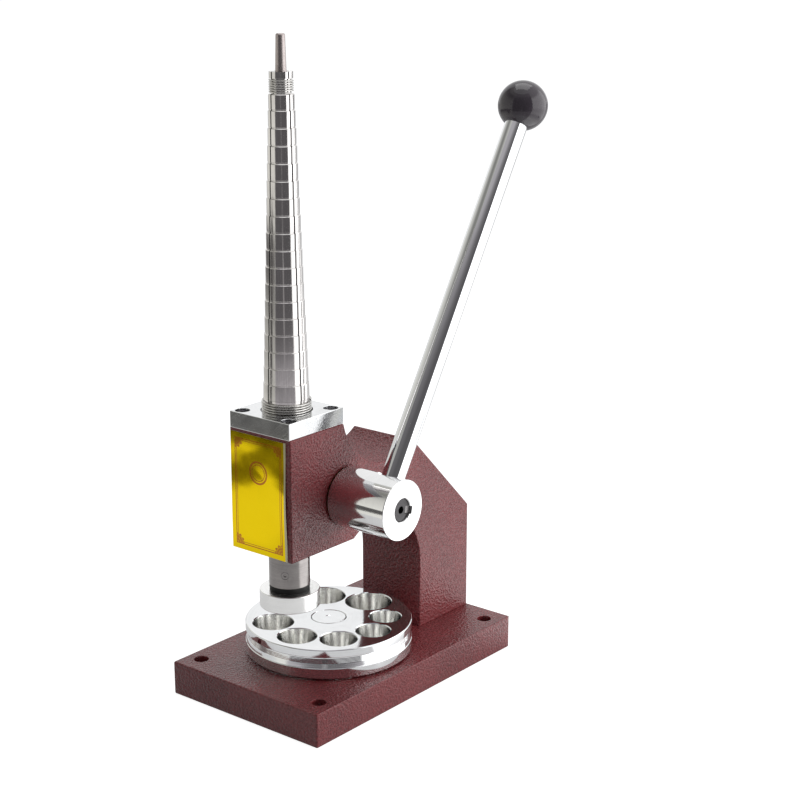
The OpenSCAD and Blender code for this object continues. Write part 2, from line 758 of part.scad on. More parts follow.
// Half section of the whole mandrel, from its foot up the steps and down the bore
module mandrel_outline() {
    step_points = [for (i = [0 : step_count - 1]) each
        let (r = step_r(i), z0 = i == 0 ? root_z1 : step_z(i),
             z1 = i == step_count - 1 ? neck_z0 : step_z(i + 1), nick = i == 0 ? 0 : line_depth)
        [[r - nick, z0], [r - nick, z0 + line_h], [r, z0 + line_h],
         [r, z1 - step_growth / 2], [r - step_growth / 2, z1]]];
    polygon(concat(
        [[bore_r(foot_z0), foot_z0], [foot_r, foot_z0], [foot_r, foot_z1],
         [root_r - 0.1, foot_z1], [root_r - 0.1, root_z1]],
        step_points,
        [[neck_r, neck_z0], [neck_r, neck_z1], [crown_r, neck_z1],
         [crown_r, crown_z1 - 0.3], [crown_r - 0.3, crown_z1],
         [bore_r(crown_z1), crown_z1]]));
}

// Quarter k of the mandrel, cut out between two slits
module mandrel_segment(k) {
    color([0.8, 0.81, 0.83]) at_ram() intersection() {
        rotate_extrude() mandrel_outline();
        rotate([0, 0, slit_turn + 90 * (k - 1)])
            translate([slit_w / 2, slit_w / 2, foot_z0 - over])
                cube([2 * foot_r, 2 * foot_r, crown_z1 - foot_z0 + 2 * over]);
    }
}
module mandrel_segment_1() { mandrel_segment(1); }
module mandrel_segment_2() { mandrel_segment(2); }
module mandrel_segment_3() { mandrel_segment(3); }
module mandrel_segment_4() { mandrel_segment(4); }

module upper_band_spring() {
    color([0.72, 0.71, 0.68]) at_ram() translate([0, 0, neck_z0 + spring_room + wire_d / 2])
        coil(neck_r + running + wire_d / 2, upper_turns);
}

module lower_band_spring() {
    color([0.72, 0.71, 0.68]) at_ram() translate([0, 0, plate_z1 + spring_room + wire_d / 2])
        coil(root_r + running + wire_d / 2, lower_turns);
}

base_plate();
c_frame();
frame_bolts();
top_plate();
plate_screws();
foil_label();
die_pivot_pin();
die_washer();
die_plate();
bearing_bush_right();
bearing_bush_left();
drive_pinion();
pinion_key();
pinion_shaft();
hub_washer();
lever_hub();
hub_key();
hub_set_screw();
lever_rod();
ball_knob();
end_washer();
retaining_ring();
ram();
draw_rod();
buffer_ring();
pusher_cap();
cap_pin();
mandrel_segment_1();
mandrel_segment_2();
mandrel_segment_3();
mandrel_segment_4();
upper_band_spring();
lower_band_spring();
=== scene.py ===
import json
import math

import bmesh
import bpy
from mathutils import Matrix, Vector
from mathutils.geometry import tessellate_polygon


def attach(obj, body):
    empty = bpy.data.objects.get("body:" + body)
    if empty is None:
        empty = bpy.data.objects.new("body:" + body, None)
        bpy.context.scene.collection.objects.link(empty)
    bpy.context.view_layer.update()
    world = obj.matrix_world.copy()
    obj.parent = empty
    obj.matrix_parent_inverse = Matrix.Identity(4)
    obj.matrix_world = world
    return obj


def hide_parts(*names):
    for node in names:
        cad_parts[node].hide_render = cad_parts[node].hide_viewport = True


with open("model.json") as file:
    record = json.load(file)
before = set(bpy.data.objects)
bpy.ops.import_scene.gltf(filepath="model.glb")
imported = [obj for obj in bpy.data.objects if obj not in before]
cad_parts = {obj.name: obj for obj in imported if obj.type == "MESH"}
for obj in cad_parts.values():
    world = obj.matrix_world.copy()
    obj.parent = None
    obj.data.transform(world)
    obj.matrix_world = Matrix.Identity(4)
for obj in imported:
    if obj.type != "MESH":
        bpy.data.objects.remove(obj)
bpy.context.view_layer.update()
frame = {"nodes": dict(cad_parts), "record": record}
nodes = frame["nodes"]
bodyOf = {node: body for body, names in frame["record"]["behaviour"]["bodies"].items()
          for node in names}
print("packed frame loaded:", len(nodes), "nodes")

# Lengths in the dictionaries below are millimetres and angles are degrees, as in the CAD source
machine = {"ramY": -43.9876, "pinionY": -23.2376, "pinionZ": 109.4, "leverLean": 31.2,
           "headHalf": 20.0, "plateTop": 155.8, "dieY": -14.1938}


cameraView = {"place": (0.56754, -0.65205, 0.39196), "right": (0.774, 0.633, 0),
              "back": (0.6105, -0.7464, 0.2648), "lens": 78.03, "shift": (0.00515, -0.0089)}


def addCamera(view):
    data = bpy.data.cameras.new("benchCamera")
    data.lens = view["lens"]
    data.shift_x, data.shift_y = view["shift"]
    data.clip_start, data.clip_end = 0.01, 20
    camera = bpy.data.objects.new("benchCamera", data)
    back = Vector(view["back"]).normalized()
    right = Vector(view["right"]).normalized()
    up = back.cross(right).normalized()
    right = up.cross(back)
    camera.matrix_world = (Matrix.Translation(view["place"])
                           @ Matrix((right, up, back)).transposed().to_4x4())
    bpy.context.scene.collection.objects.link(camera)
    bpy.context.scene.camera = camera


addCamera(cameraView)
bpy.context.scene.view_settings.view_transform = "Standard"
print("camera placed")


def addNode(tree, kind, sockets=None, **settings):
    node = tree.nodes.new(kind)
    for key, value in settings.items():
        setattr(node, key, value)
    for key, value in (sockets or {}).items():
        if isinstance(value, bpy.types.NodeSocket):
            tree.links.new(value, node.inputs[key])
        else:
            node.inputs[key].default_value = value
    return node


def mathNode(tree, operation, a, b=0.0, c=0.0):
    return addNode(tree, "ShaderNodeMath", {0: a, 1: b, 2: c}, operation=operation).outputs[0]


# Distance of a point whose two offsets are a and b
def offsetLength(tree, a, b):
    squares = [mathNode(tree, "MULTIPLY", offset, offset) for offset in (a, b)]
    return mathNode(tree, "SQRT", mathNode(tree, "ADD", *squares))


def mixColors(tree, factor, a, b):
    return addNode(tree, "ShaderNodeMix", {0: factor, 6: a, 7: b}, data_type="RGBA").outputs[2]


def spread(tree, value, low, high, toLow=0.0, toHigh=1.0, kind="LINEAR"):
    return addNode(tree, "ShaderNodeMapRange", {"Value": value, "From Min": low, "From Max": high,
                   "To Min": toLow, "To Max": toHigh}, interpolation_type=kind).outputs[0]


def smooth(tree, value, low, high, toLow=0.0, toHigh=1.0):
    return spread(tree, value, low, high, toLow, toHigh, "SMOOTHSTEP")


def noise(tree, vector, scale, detail=2.0, roughness=0.5, distortion=0.0):
    return addNode(tree, "ShaderNodeTexNoise", {"Vector": vector, "Scale": scale, "Detail": detail,
                   "Roughness": roughness, "Distortion": distortion}).outputs[0]


def newGroup(name, inputs, outputs):
    tree = bpy.data.node_groups.new(name, "ShaderNodeTree")
    for socketName, kind, value in inputs:
        socket = tree.interface.new_socket(socketName, in_out="INPUT", socket_type=kind)
        if value is not None:
            socket.default_value = value
    for socketName, kind in outputs:
        tree.interface.new_socket(socketName, in_out="OUTPUT", socket_type=kind)
    return tree, tree.nodes.new("NodeGroupInput").outputs, tree.nodes.new("NodeGroupOutput").inputs


# Hammered enamel: a glossy skin of small shallow dimples, with hardly any change of colour
def makeHammerGroup():
    tree, given, result = newGroup("hammeredEnamel", [
        ("Vector", "NodeSocketVector", None), ("Cells", "NodeSocketFloat", 900.0),
        ("Valley", "NodeSocketColor", (0.1, 0.02, 0.03, 1)),
        ("Crest", "NodeSocketColor", (0.3, 0.1, 0.1, 1))],
        [("Color", "NodeSocketColor"), ("Roughness", "NodeSocketFloat"),
         ("Height", "NodeSocketFloat")])
    link = tree.links.new
    warp = addNode(tree, "ShaderNodeTexNoise", {"Vector": given["Vector"], "Scale": 420.0}).outputs[1]
    bent = addNode(tree, "ShaderNodeVectorMath", {0: warp, 1: (0.0014, 0.0014, 0.0014),
                   2: given["Vector"]}, operation="MULTIPLY_ADD").outputs[0]
    cells = addNode(tree, "ShaderNodeTexVoronoi", {"Vector": bent, "Scale": given["Cells"],
                    "Smoothness": 0.35}, feature="SMOOTH_F1").outputs[0]
    grain = noise(tree, given["Vector"], mathNode(tree, "MULTIPLY", given["Cells"], 1.5), 2.0, 0.6)
    height = mathNode(tree, "ADD", cells, mathNode(tree, "MULTIPLY", grain, 0.6))
    drift = noise(tree, given["Vector"], 30.0, 2.0, 0.5)
    tone = mathNode(tree, "ADD", spread(tree, height, 0.4, 0.95, 0.0, 0.6),
                    spread(tree, drift, 0.3, 0.7, 0.0, 0.4))
    link(mixColors(tree, tone, given["Valley"], given["Crest"]), result["Color"])
    link(spread(tree, drift, 0.3, 0.7, 0.19, 0.26), result["Roughness"])
    link(height, result["Height"])
    return tree


# Fine rings left by the lathe, on the radius from local Z and the height along it
def makeTurnedGroup():
    tree, given, result = newGroup("turnedRings", [
        ("Vector", "NodeSocketVector", None), ("Rings", "NodeSocketFloat", 3000.0)],
        [("Height", "NodeSocketFloat"), ("Mask", "NodeSocketFloat")])
    part = addNode(tree, "ShaderNodeSeparateXYZ", {0: given["Vector"]}).outputs
    reach = offsetLength(tree, part[0], part[1])
    around = mathNode(tree, "ARCTAN2", part[1], part[0])
    rings = addNode(tree, "ShaderNodeCombineXYZ", {
        0: mathNode(tree, "MULTIPLY", reach, given["Rings"]),
        1: mathNode(tree, "MULTIPLY", mathNode(tree, "ABSOLUTE", around), 0.6),
        2: mathNode(tree, "MULTIPLY", part[2], given["Rings"])}).outputs[0]
    fine = noise(tree, rings, 1.0, 3.0, 0.65)
    wide = noise(tree, rings, 0.13, 1.0, 0.5)
    tree.links.new(mathNode(tree, "MULTIPLY_ADD", wide, 0.5, fine), result["Height"])
    tree.links.new(spread(tree, fine, 0.35, 0.65), result["Mask"])
    return tree


# Straight strokes of a grinding wheel or emery cloth, along local X
def makeBrushedGroup():
    tree, given, result = newGroup("groundStrokes", [
        ("Vector", "NodeSocketVector", None), ("Strokes", "NodeSocketFloat", 4000.0),
        ("Length", "NodeSocketFloat", 60.0)],
        [("Height", "NodeSocketFloat"), ("Mask", "NodeSocketFloat")])
    part = addNode(tree, "ShaderNodeSeparateXYZ", {0: given["Vector"]}).outputs
    strokes = addNode(tree, "ShaderNodeCombineXYZ", {
        0: mathNode(tree, "MULTIPLY", part[0], given["Length"]),
        1: mathNode(tree, "MULTIPLY", part[1], given["Strokes"]),
        2: mathNode(tree, "MULTIPLY", part[2], given["Strokes"])}).outputs[0]
    fine = noise(tree, strokes, 1.0, 3.0, 0.6)
    tree.links.new(fine, result["Height"])
    tree.links.new(spread(tree, fine, 0.35, 0.65), result["Mask"])
    return tree


# Finger marks and thin oil: a slow mask from 0 to 1
def makeSmudgeGroup():
    tree, given, result = newGroup("handlingSmudges", [
        ("Vector", "NodeSocketVector", None), ("Size", "NodeSocketFloat", 70.0)],
        [("Mask", "NodeSocketFloat")])
    slow = noise(tree, given["Vector"], given["Size"], 3.0, 0.6, 0.4)
    specks = noise(tree, given["Vector"], mathNode(tree, "MULTIPLY", given["Size"], 14.0), 1.0, 0.5)
    both = mathNode(tree, "MULTIPLY_ADD", spread(tree, specks, 0.55, 0.75), 0.25,
                    spread(tree, slow, 0.42, 0.68, 0.0, 0.85))
    tree.links.new(mathNode(tree, "MINIMUM", both, 1.0), result["Mask"])
    return tree


groups = {"hammer": makeHammerGroup(), "turned": makeTurnedGroup(),
          "brushed": makeBrushedGroup(), "smudge": makeSmudgeGroup()}


def placeGroup(tree, key, sockets):
    return addNode(tree, "ShaderNodeGroup", sockets, node_tree=groups[key]).outputs


def newMaterial(name, **plain):
    material = bpy.data.materials.new(name)
    material.use_nodes = True
    tree = material.node_tree
    shader = tree.nodes["Principled BSDF"]
    for key, value in plain.items():
        shader.inputs[key.replace("_", " ")].default_value = value
    objectSpace = tree.nodes.new("ShaderNodeTexCoord").outputs["Object"]
    return material, tree, shader.inputs, objectSpace


def addBump(tree, shader, height, strength, depth):
    bump = addNode(tree, "ShaderNodeBump", {"Height": height, "Strength": strength,
                                            "Distance": depth / 1000})
    tree.links.new(bump.outputs[0], shader["Normal"])


# Object space with its origin at a centre in millimetres, then turned by degrees
def mapped(tree, vector, centre, turn):
    moved = addNode(tree, "ShaderNodeMapping", {
        "Vector": vector, "Location": [-value / 1000 for value in centre]}).outputs[0]
    return addNode(tree, "ShaderNodeMapping", {
        "Vector": moved, "Rotation": [math.radians(value) for value in turn]}).outputs[0]


enamel = {"valley": (0.1, 0.012, 0.015, 1), "crest": (0.25, 0.045, 0.05, 1), "cells": 780.0,
          "bump": 1.0, "depth": 0.42}


def makeEnamel():
    material, tree, shader, space = newMaterial("maroonHammerEnamel", Specular_IOR_Level=0.42)
    paint = placeGroup(tree, "hammer", {"Vector": space, "Cells": enamel["cells"],
                                        "Valley": enamel["valley"], "Crest": enamel["crest"]})
    tree.links.new(paint["Color"], shader["Base Color"])
    tree.links.new(paint["Roughness"], shader["Roughness"])
    addBump(tree, shader, paint["Height"], enamel["bump"], enamel["depth"])
    return material


# Turned or ground bright metal, with finger marks over it
def makeMetal(name, light, dark, rough, marks, centre=(0, 0, 0), turn=(0, 0, 0), smudges=70.0,
              wave=0.0):
    material, tree, shader, space = newMaterial(name, Metallic=1.0)
    kind, count, strength, depth = marks
    worn = placeGroup(tree, "smudge", {"Vector": space, "Size": smudges})["Mask"]
    lines = placeGroup(tree, kind, {"Vector": mapped(tree, space, centre, turn),
                                    "Rings" if kind == "turned" else "Strokes": count})
    both = mathNode(tree, "MULTIPLY_ADD", lines["Mask"], 0.45, mathNode(tree, "MULTIPLY", worn, 0.55))
    tree.links.new(mixColors(tree, both, light + (1,), dark + (1,)), shader["Base Color"])
    tree.links.new(spread(tree, both, 0.0, 1.0, *rough), shader["Roughness"])
    addBump(tree, shader, lines["Height"], strength, depth)
    if wave:                             # polishing leaves a flat face very slightly uneven
        slow = addNode(tree, "ShaderNodeBump", {"Height": noise(tree, space, 38.0), "Strength": 1.0,
                                                "Distance": wave / 1000})
        tree.links.new(slow.outputs[0], shader["Normal"].links[0].from_node.inputs["Normal"])
    return material


ramAxis = (0, machine["ramY"], 0)
dieAxis = (0, machine["dieY"], 0)
pinionAxis = (0, machine["pinionY"], machine["pinionZ"])
sideways = (0, -90, 0)               # so that rings run round a shaft along X
upright = (0, 90, 0)                 # so that strokes run up and down
alongLever = (machine["leverLean"], 0, 0)


def makeRubber():
    material, tree, shader, space = newMaterial("blackBufferRubber", Specular_IOR_Level=0.35)
    fine = noise(tree, space, 2200.0, 3.0, 0.6)
    tree.links.new(mixColors(tree, fine, (0.006, 0.006, 0.006, 1), (0.022, 0.021, 0.02, 1)),
                   shader["Base Color"])
    tree.links.new(spread(tree, fine, 0.3, 0.7, 0.5, 0.75), shader["Roughness"])
    addBump(tree, shader, fine, 0.3, 0.05)
    return material


def makeKnobPlastic():
    material, tree, shader, space = newMaterial("blackKnobPlastic", Coat_Roughness=0.04)
    marks = placeGroup(tree, "smudge", {"Vector": space, "Size": 90.0})["Mask"]
    tree.links.new(mixColors(tree, marks, (0.058, 0.048, 0.06, 1), (0.08, 0.067, 0.082, 1)),
                   shader["Base Color"])
    tree.links.new(spread(tree, marks, 0.0, 1.0, 0.07, 0.17), shader["Roughness"])
    addBump(tree, shader, noise(tree, space, 260.0, 2.0), 0.05, 0.1)
    return material


label = {"low": (-19.7, 84.5), "high": (17.5, 145.9), "inset": 3.0, "line": 0.42, "gap": 1.05,
         "fan": 6.2, "ring": (-1.1, 127.0, 5.6), "thick": 0.22, "curl": 0.5, "bulge": 0.1,
         "ripple": 0.06, "ragged": 0.22}


# Gold film with a printed double border, fans in its corners and a plain ring above the middle
def makeFoil():
    material, tree, shader, space = newMaterial("goldPrintedFoil")
    part = addNode(tree, "ShaderNodeSeparateXYZ", {0: space}).outputs
    scaled = [mathNode(tree, "MULTIPLY", part[axis], 1000.0) for axis in (0, 2)]
    middle = [(label["low"][axis] + label["high"][axis]) / 2 for axis in (0, 1)]
    half = [(label["high"][axis] - label["low"][axis]) / 2 for axis in (0, 1)]
    away = [mathNode(tree, "SUBTRACT", half[axis], mathNode(tree, "ABSOLUTE", mathNode(
        tree, "SUBTRACT", scaled[axis], middle[axis]))) for axis in (0, 1)]
    edge = mathNode(tree, "MINIMUM", away[0], away[1])

    def line(distance, at, width):
        off = mathNode(tree, "ABSOLUTE", mathNode(tree, "SUBTRACT", distance, at))
        return spread(tree, off, width * 0.5, width * 0.5 + 0.12, 1.0, 0.0)

    border = mathNode(tree, "MAXIMUM", line(edge, label["inset"], label["line"]),
                      line(edge, label["inset"] + label["gap"], label["line"] * 0.5))
    # Corner fans: quarter rosettes with lobes, drawn round each inner corner
    corner = [mathNode(tree, "SUBTRACT", away[axis], label["inset"]) for axis in (0, 1)]
    reach = offsetLength(tree, corner[0], corner[1])
    turn = mathNode(tree, "ARCTAN2", corner[1], corner[0])
    lobes = mathNode(tree, "MULTIPLY", mathNode(tree, "COSINE", mathNode(
        tree, "MULTIPLY", turn, 12.0)), 0.55)
    outline = mathNode(tree, "ADD", lobes, label["fan"] - 1.0)
    fan = spread(tree, mathNode(tree, "SUBTRACT", outline, reach), 0.0, 0.25)
    vein = spread(tree, mathNode(tree, "SINE", mathNode(tree, "MULTIPLY", reach, 4.2)), -0.5, 0.5)
    inside = mathNode(tree, "MULTIPLY", spread(tree, corner[0], 0.1, 0.3),
                      spread(tree, corner[1], 0.1, 0.3))
    fan = mathNode(tree, "MULTIPLY", mathNode(tree, "MULTIPLY", fan, inside), mathNode(
        tree, "MULTIPLY_ADD", vein, 0.45, 0.55))
    ringAway = offsetLength(tree, *[mathNode(tree, "SUBTRACT", scaled[axis], label["ring"][axis])
                                    for axis in (0, 1)])
    ring = mathNode(tree, "MAXIMUM", line(ringAway, label["ring"][2], 0.9),
                    line(ringAway, label["ring"][2] - 1.4, 0.35))
    ink = mathNode(tree, "MAXIMUM", mathNode(tree, "MAXIMUM", border, fan), ring)
    ink = mathNode(tree, "MULTIPLY", ink, spread(tree, noise(tree, space, 900.0), 0.25, 0.5, 0.7, 1.0))
    foil = mixColors(tree, noise(tree, space, 60.0, 3.0), (0.86, 0.61, 0.003, 1),
                     (0.93, 0.69, 0.006, 1))
    printed = mixColors(tree, mathNode(tree, "MULTIPLY", ink, 0.85), foil, (0.62, 0.13, 0.01, 1))
    rim = spread(tree, part[0], (label["high"][0] - 1.3) / 1000, (label["high"][0] - 1.1) / 1000)
    tree.links.new(mixColors(tree, rim, printed, (0.86, 0.8, 0.5, 1)), shader["Base Color"])
    tree.links.new(spread(tree, mathNode(tree, "MAXIMUM", mathNode(tree, "MULTIPLY", ink, 0.6), rim),
                          0.0, 1.0, 1.0, 0.1), shader["Metallic"])
    tree.links.new(spread(tree, noise(tree, space, 120.0, 3.0), 0.3, 0.7, 0.06, 0.11),
                   shader["Roughness"])
    addBump(tree, shader, noise(tree, space, 45.0), 0.2, 0.5)
    return material


# The film's pale cut edge
def makeFilmEdge():
    material, tree, shader, space = newMaterial("foilCutEdge", Roughness=0.35)
    tree.links.new(mixColors(tree, noise(tree, space, 700.0, 2.0), (0.82, 0.76, 0.5, 1),
                             (0.93, 0.9, 0.74, 1)), shader["Base Color"])
    return material


# Each metal has two tones and a range of roughness. Its marks are the kind of tool, how many there
# are to the metre, their strength and their depth. Turned marks run round the centre.
metals = {
    "hubChrome": {"light": (0.85, 0.85, 0.85), "dark": (0.76, 0.76, 0.76), "rough": (0.06, 0.12),
                  "marks": ("turned", 2600.0, 0.1, 0.02), "centre": pinionAxis, "turn": sideways},
    "leverChrome": {"light": (0.85, 0.86, 0.87), "dark": (0.78, 0.79, 0.81), "rough": (0.03, 0.075),
                    "marks": ("turned", 3200.0, 0.1, 0.02), "centre": pinionAxis,
                    "turn": alongLever, "smudges": 40.0},
    "plateChrome": {"light": (0.86, 0.87, 0.88), "dark": (0.72, 0.73, 0.74), "rough": (0.07, 0.18),
                    "marks": ("brushed", 1500.0, 0.5, 0.04), "turn": (0, 38, 0), "wave": 0.06},
    "dieChrome": {"light": (0.86, 0.87, 0.88), "dark": (0.76, 0.77, 0.78), "rough": (0.06, 0.12),
                  "marks": ("turned", 2400.0, 0.14, 0.02), "centre": dieAxis, "wave": 0.05},
    # The bore walls take a paler steel than the die's top: partly a different grinding, partly painted
    # light for the light that bounces down the bores
    "dieBoreSteel": {"light": (0.93, 0.93, 0.925), "dark": (0.86, 0.86, 0.83), "rough": (0.14, 0.2),
                     "marks": ("brushed", 2000.0, 0.12, 0.02), "centre": dieAxis, "turn": upright,
                     "smudges": 60.0},
    "mandrelSteel": {"light": (0.79, 0.77, 0.76), "dark": (0.6, 0.58, 0.57), "rough": (0.07, 0.15),
                     "marks": ("brushed", 2600.0, 0.28, 0.03), "centre": ramAxis, "turn": upright},
    "drawRodSteel": {"light": (0.5, 0.45, 0.44), "dark": (0.37, 0.325, 0.315), "rough": (0.32, 0.46),
                     "marks": ("turned", 3000.0, 0.3, 0.03), "centre": ramAxis},
    "ramSteel": {"light": (0.32, 0.3, 0.292), "dark": (0.21, 0.197, 0.192), "rough": (0.17, 0.27),
                 "marks": ("turned", 3000.0, 0.25, 0.03), "centre": ramAxis},
    "capSteel": {"light": (0.93, 0.93, 0.92), "dark": (0.86, 0.86, 0.85), "rough": (0.2, 0.28),
                 "marks": ("turned", 2800.0, 0.2, 0.03), "centre": ramAxis},
    "shaftSteel": {"light": (0.09, 0.087, 0.09), "dark": (0.055, 0.053, 0.055), "rough": (0.35, 0.5),
                   "marks": ("turned", 2600.0, 0.3, 0.03), "centre": pinionAxis, "turn": sideways},
    "sinteredBronze": {"light": (0.68, 0.47, 0.22), "dark": (0.5, 0.32, 0.14), "rough": (0.3, 0.45),
                       "marks": ("turned", 2600.0, 0.3, 0.03), "centre": pinionAxis,
                       "turn": sideways},
    "washerBronze": {"light": (0.66, 0.46, 0.22), "dark": (0.48, 0.31, 0.14), "rough": (0.3, 0.45),
                     "marks": ("turned", 2600.0, 0.3, 0.03), "centre": dieAxis},
    "gearSteel": {"light": (0.3, 0.29, 0.29), "dark": (0.2, 0.195, 0.195), "rough": (0.3, 0.45),
                  "marks": ("turned", 2600.0, 0.3, 0.03), "centre": pinionAxis, "turn": sideways},
    "blackOxide": {"light": (0.075, 0.072, 0.078), "dark": (0.04, 0.038, 0.042),
                   "rough": (0.3, 0.5), "marks": ("brushed", 2600.0, 0.25, 0.03)},
    "springWire": {"light": (0.66, 0.65, 0.63), "dark": (0.46, 0.45, 0.43), "rough": (0.18, 0.32),
                   "marks": ("turned", 4200.0, 0.2, 0.02), "centre": ramAxis},
}
finish = {name: makeMetal(name, **metal) for name, metal in metals.items()}
finish.update(enamel=makeEnamel(), rubber=makeRubber(), knob=makeKnobPlastic(), foil=makeFoil(),
              filmEdge=makeFilmEdge())
print("finishes made:", len(finish))


def linkMesh(name, mesh, *materials):
    if mesh.materials:
        mesh.materials.clear()
    for material in materials:
        mesh.materials.append(material)
    piece = bpy.data.objects.new(name, mesh)
    bpy.context.scene.collection.objects.link(piece)
    return piece


# Applies what is live on a piece and leaves a plain mesh behind
def settle(piece):
    bpy.context.view_layer.update()
    graph = bpy.context.evaluated_depsgraph_get()
    mesh = bpy.data.meshes.new_from_object(piece.evaluated_get(graph), depsgraph=graph,
                                           preserve_all_data_layers=True)
    old = piece.data
    piece.modifiers.clear()
    piece.data = mesh
    bpy.data.meshes.remove(old)
    mesh.name = piece.name
    return piece


# Smooth faces with crisp edges, and normals that follow the larger faces
def shade(piece, crease=32, weight=85):
    mesh = piece.data
    mesh.polygons.foreach_set("use_smooth", [True] * len(mesh.polygons))
    mesh.set_sharp_from_angle(angle=math.radians(crease))
    weighted = piece.modifiers.new("weightedNormals", "WEIGHTED_NORMAL")
    weighted.keep_sharp = True
    weighted.weight = weight
    return settle(piece)


def linkShape(name, bm, *materials):
    mesh = bpy.data.meshes.new(name)
    bm.to_mesh(mesh)
    bm.free()
    return linkMesh(name, mesh, *materials)


def meshFrom(name, bm, *materials, crease=32, weight=85):
    bmesh.ops.recalc_face_normals(bm, faces=bm.faces)
    return shade(linkShape(name, bm, *materials), crease, weight)


# Corners are (radius, height, fillet); the result is a list of 2-D points with the fillets turned
def filleted(corners, steps=4):
    points = []
    for index, corner in enumerate(corners):
        here = Vector(corner[:2])
        fillet = corner[2] if len(corner) > 2 else 0
        if not fillet or index in (0, len(corners) - 1):
            points.append(here)
            continue
        before = Vector(corners[index - 1][:2]) - here
        after = Vector(corners[index + 1][:2]) - here
        half = before.angle(after) / 2
        run = min(fillet / math.tan(half), before.length * 0.49, after.length * 0.49)
        radius = run * math.tan(half)
        centre = here + (before.normalized() + after.normalized()).normalized() * (
            radius / math.sin(half))
        start = here + before.normalized() * run - centre
        end = here + after.normalized() * run - centre
        first = math.atan2(start.y, start.x)
        swing = (math.atan2(end.y, end.x) - first + math.pi) % (2 * math.pi) - math.pi
        for step in range(steps + 1):
            angle = first + swing * step / steps
            points.append(centre + radius * Vector((math.cos(angle), math.sin(angle))))
    return points


# Turns a profile about local Z; place puts it where it stands, in millimetres
def turnProfile(bm, profile, place, sides=160):
    rings = []
    for radius, height in profile:
        if radius < 1e-6:
            rings.append([bm.verts.new(place @ Vector((0, 0, height)) / 1000)])
            continue
        rings.append([bm.verts.new(place @ Vector((radius * math.cos(turn), radius * math.sin(turn),
                                                   height)) / 1000)
                      for turn in (2 * math.pi * side / sides for side in range(sides))])
    for low, high in zip(rings, rings[1:]):
        for side in range(sides):
            after = (side + 1) % sides
            if len(low) == 1:
                bm.faces.new((low[0], high[after], high[side]))
            elif len(high) == 1:
                bm.faces.new((low[side], low[after], high[0]))
            else:
                bm.faces.new((low[side], low[after], high[after], high[side]))
    return rings


def turned(name, corners, place, material, sides=160, steps=4, closed=False):
    bm = bmesh.new()
    profile = filleted(corners, steps)
    if closed:
        profile.append(profile[0])
    turnProfile(bm, profile, place, sides)
    if closed:
        bmesh.ops.remove_doubles(bm, verts=bm.verts, dist=1e-8)
    return meshFrom(name, bm, material)


atRam = Matrix.Translation((0, machine["ramY"], 0))
atDie = Matrix.Translation((0, machine["dieY"], 0))
atPinion = (Matrix.Translation((0, machine["pinionY"], machine["pinionZ"]))
            @ Matrix.Rotation(math.radians(90), 4, "Y"))
leverFrame = (Matrix.Translation((0, machine["pinionY"], machine["pinionZ"]))
              @ Matrix.Rotation(math.radians(-machine["leverLean"]), 4, "X"))


# A piece stands for CAD nodes: it rides on their body and hides them
def standFor(piece, *replaced):
    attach(piece, bodyOf[replaced[0]])
    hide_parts(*replaced)
    return piece


# A copy of a CAD node with its edges rounded. The width of each edge's rounding comes from its middle.
def roundedCopy(node, name, width, material, share=None, segments=3, crease=28):
    mesh = nodes[node].data.copy()
    bm = bmesh.new()
    bm.from_mesh(mesh)
    bmesh.ops.remove_doubles(bm, verts=bm.verts, dist=2e-6)
    bmesh.ops.dissolve_limit(bm, angle_limit=math.radians(0.6), verts=bm.verts, edges=bm.edges)
    weights = (bm.edges.layers.float.get("bevel_weight_edge")
               or bm.edges.layers.float.new("bevel_weight_edge"))
    for edge in bm.edges:
        sharp = len(edge.link_faces) == 2 and edge.calc_face_angle() > math.radians(crease)
        middle = (edge.verts[0].co + edge.verts[1].co) * 500
        edge[weights] = (share(middle) if share else 1.0) if sharp else 0.0
    bm.to_mesh(mesh)
    bm.free()
    if "custom_normal" in mesh.attributes:
        mesh.attributes.remove(mesh.attributes["custom_normal"])
    piece = linkMesh(name, mesh, material)
    bevel = piece.modifiers.new("roundedEdges", "BEVEL")
    bevel.width = width / 1000
    bevel.segments = segments
    bevel.limit_method = "WEIGHT"
    bevel.use_clamp_overlap = False
    return shade(settle(piece), 32, 90)


casting = {"rounding": 0.9, "boreRounding": 0.3, "ramReach": 12, "pinionReach": 16, "footTop": 18.5,
           "seatLow": 147, "seatHalf": 19, "seatBack": -25.5}
base = {"rounding": 0.8, "holeShare": 0.45, "halfX": 49.9, "halfY": 79.9}


# The bores, the foot and the seat of the top plate keep crisper edges than the outside
def castingShare(middle):
    fromRam = math.hypot(middle.x, middle.y - machine["ramY"])
    fromPinion = math.hypot(middle.y - machine["pinionY"], middle.z - machine["pinionZ"])
    onSeat = (middle.z > casting["seatLow"] and abs(middle.x) < casting["seatHalf"]
              and middle.y < casting["seatBack"])
    crisp = (fromRam < casting["ramReach"] or fromPinion < casting["pinionReach"]
             or middle.z < casting["footTop"] or onSeat)
    return casting["boreRounding"] / casting["rounding"] if crisp else 1.0


def baseShare(middle):
    outer = abs(middle.x) > base["halfX"] or abs(middle.y) > base["halfY"]
    return 1.0 if outer else base["holeShare"]


standFor(roundedCopy("c_frame", "frameCasting", casting["rounding"], finish["enamel"], castingShare),
         "c_frame")
standFor(roundedCopy("base_plate", "basePlate", base["rounding"], finish["enamel"], baseShare),
         "base_plate")
print("casting and base rounded")


topPlate = {"rounding": 0.25, "screwAt": 15.5, "sink": 5.2}
standFor(roundedCopy("top_plate", "topPlate", topPlate["rounding"], finish["plateChrome"]), "top_plate")


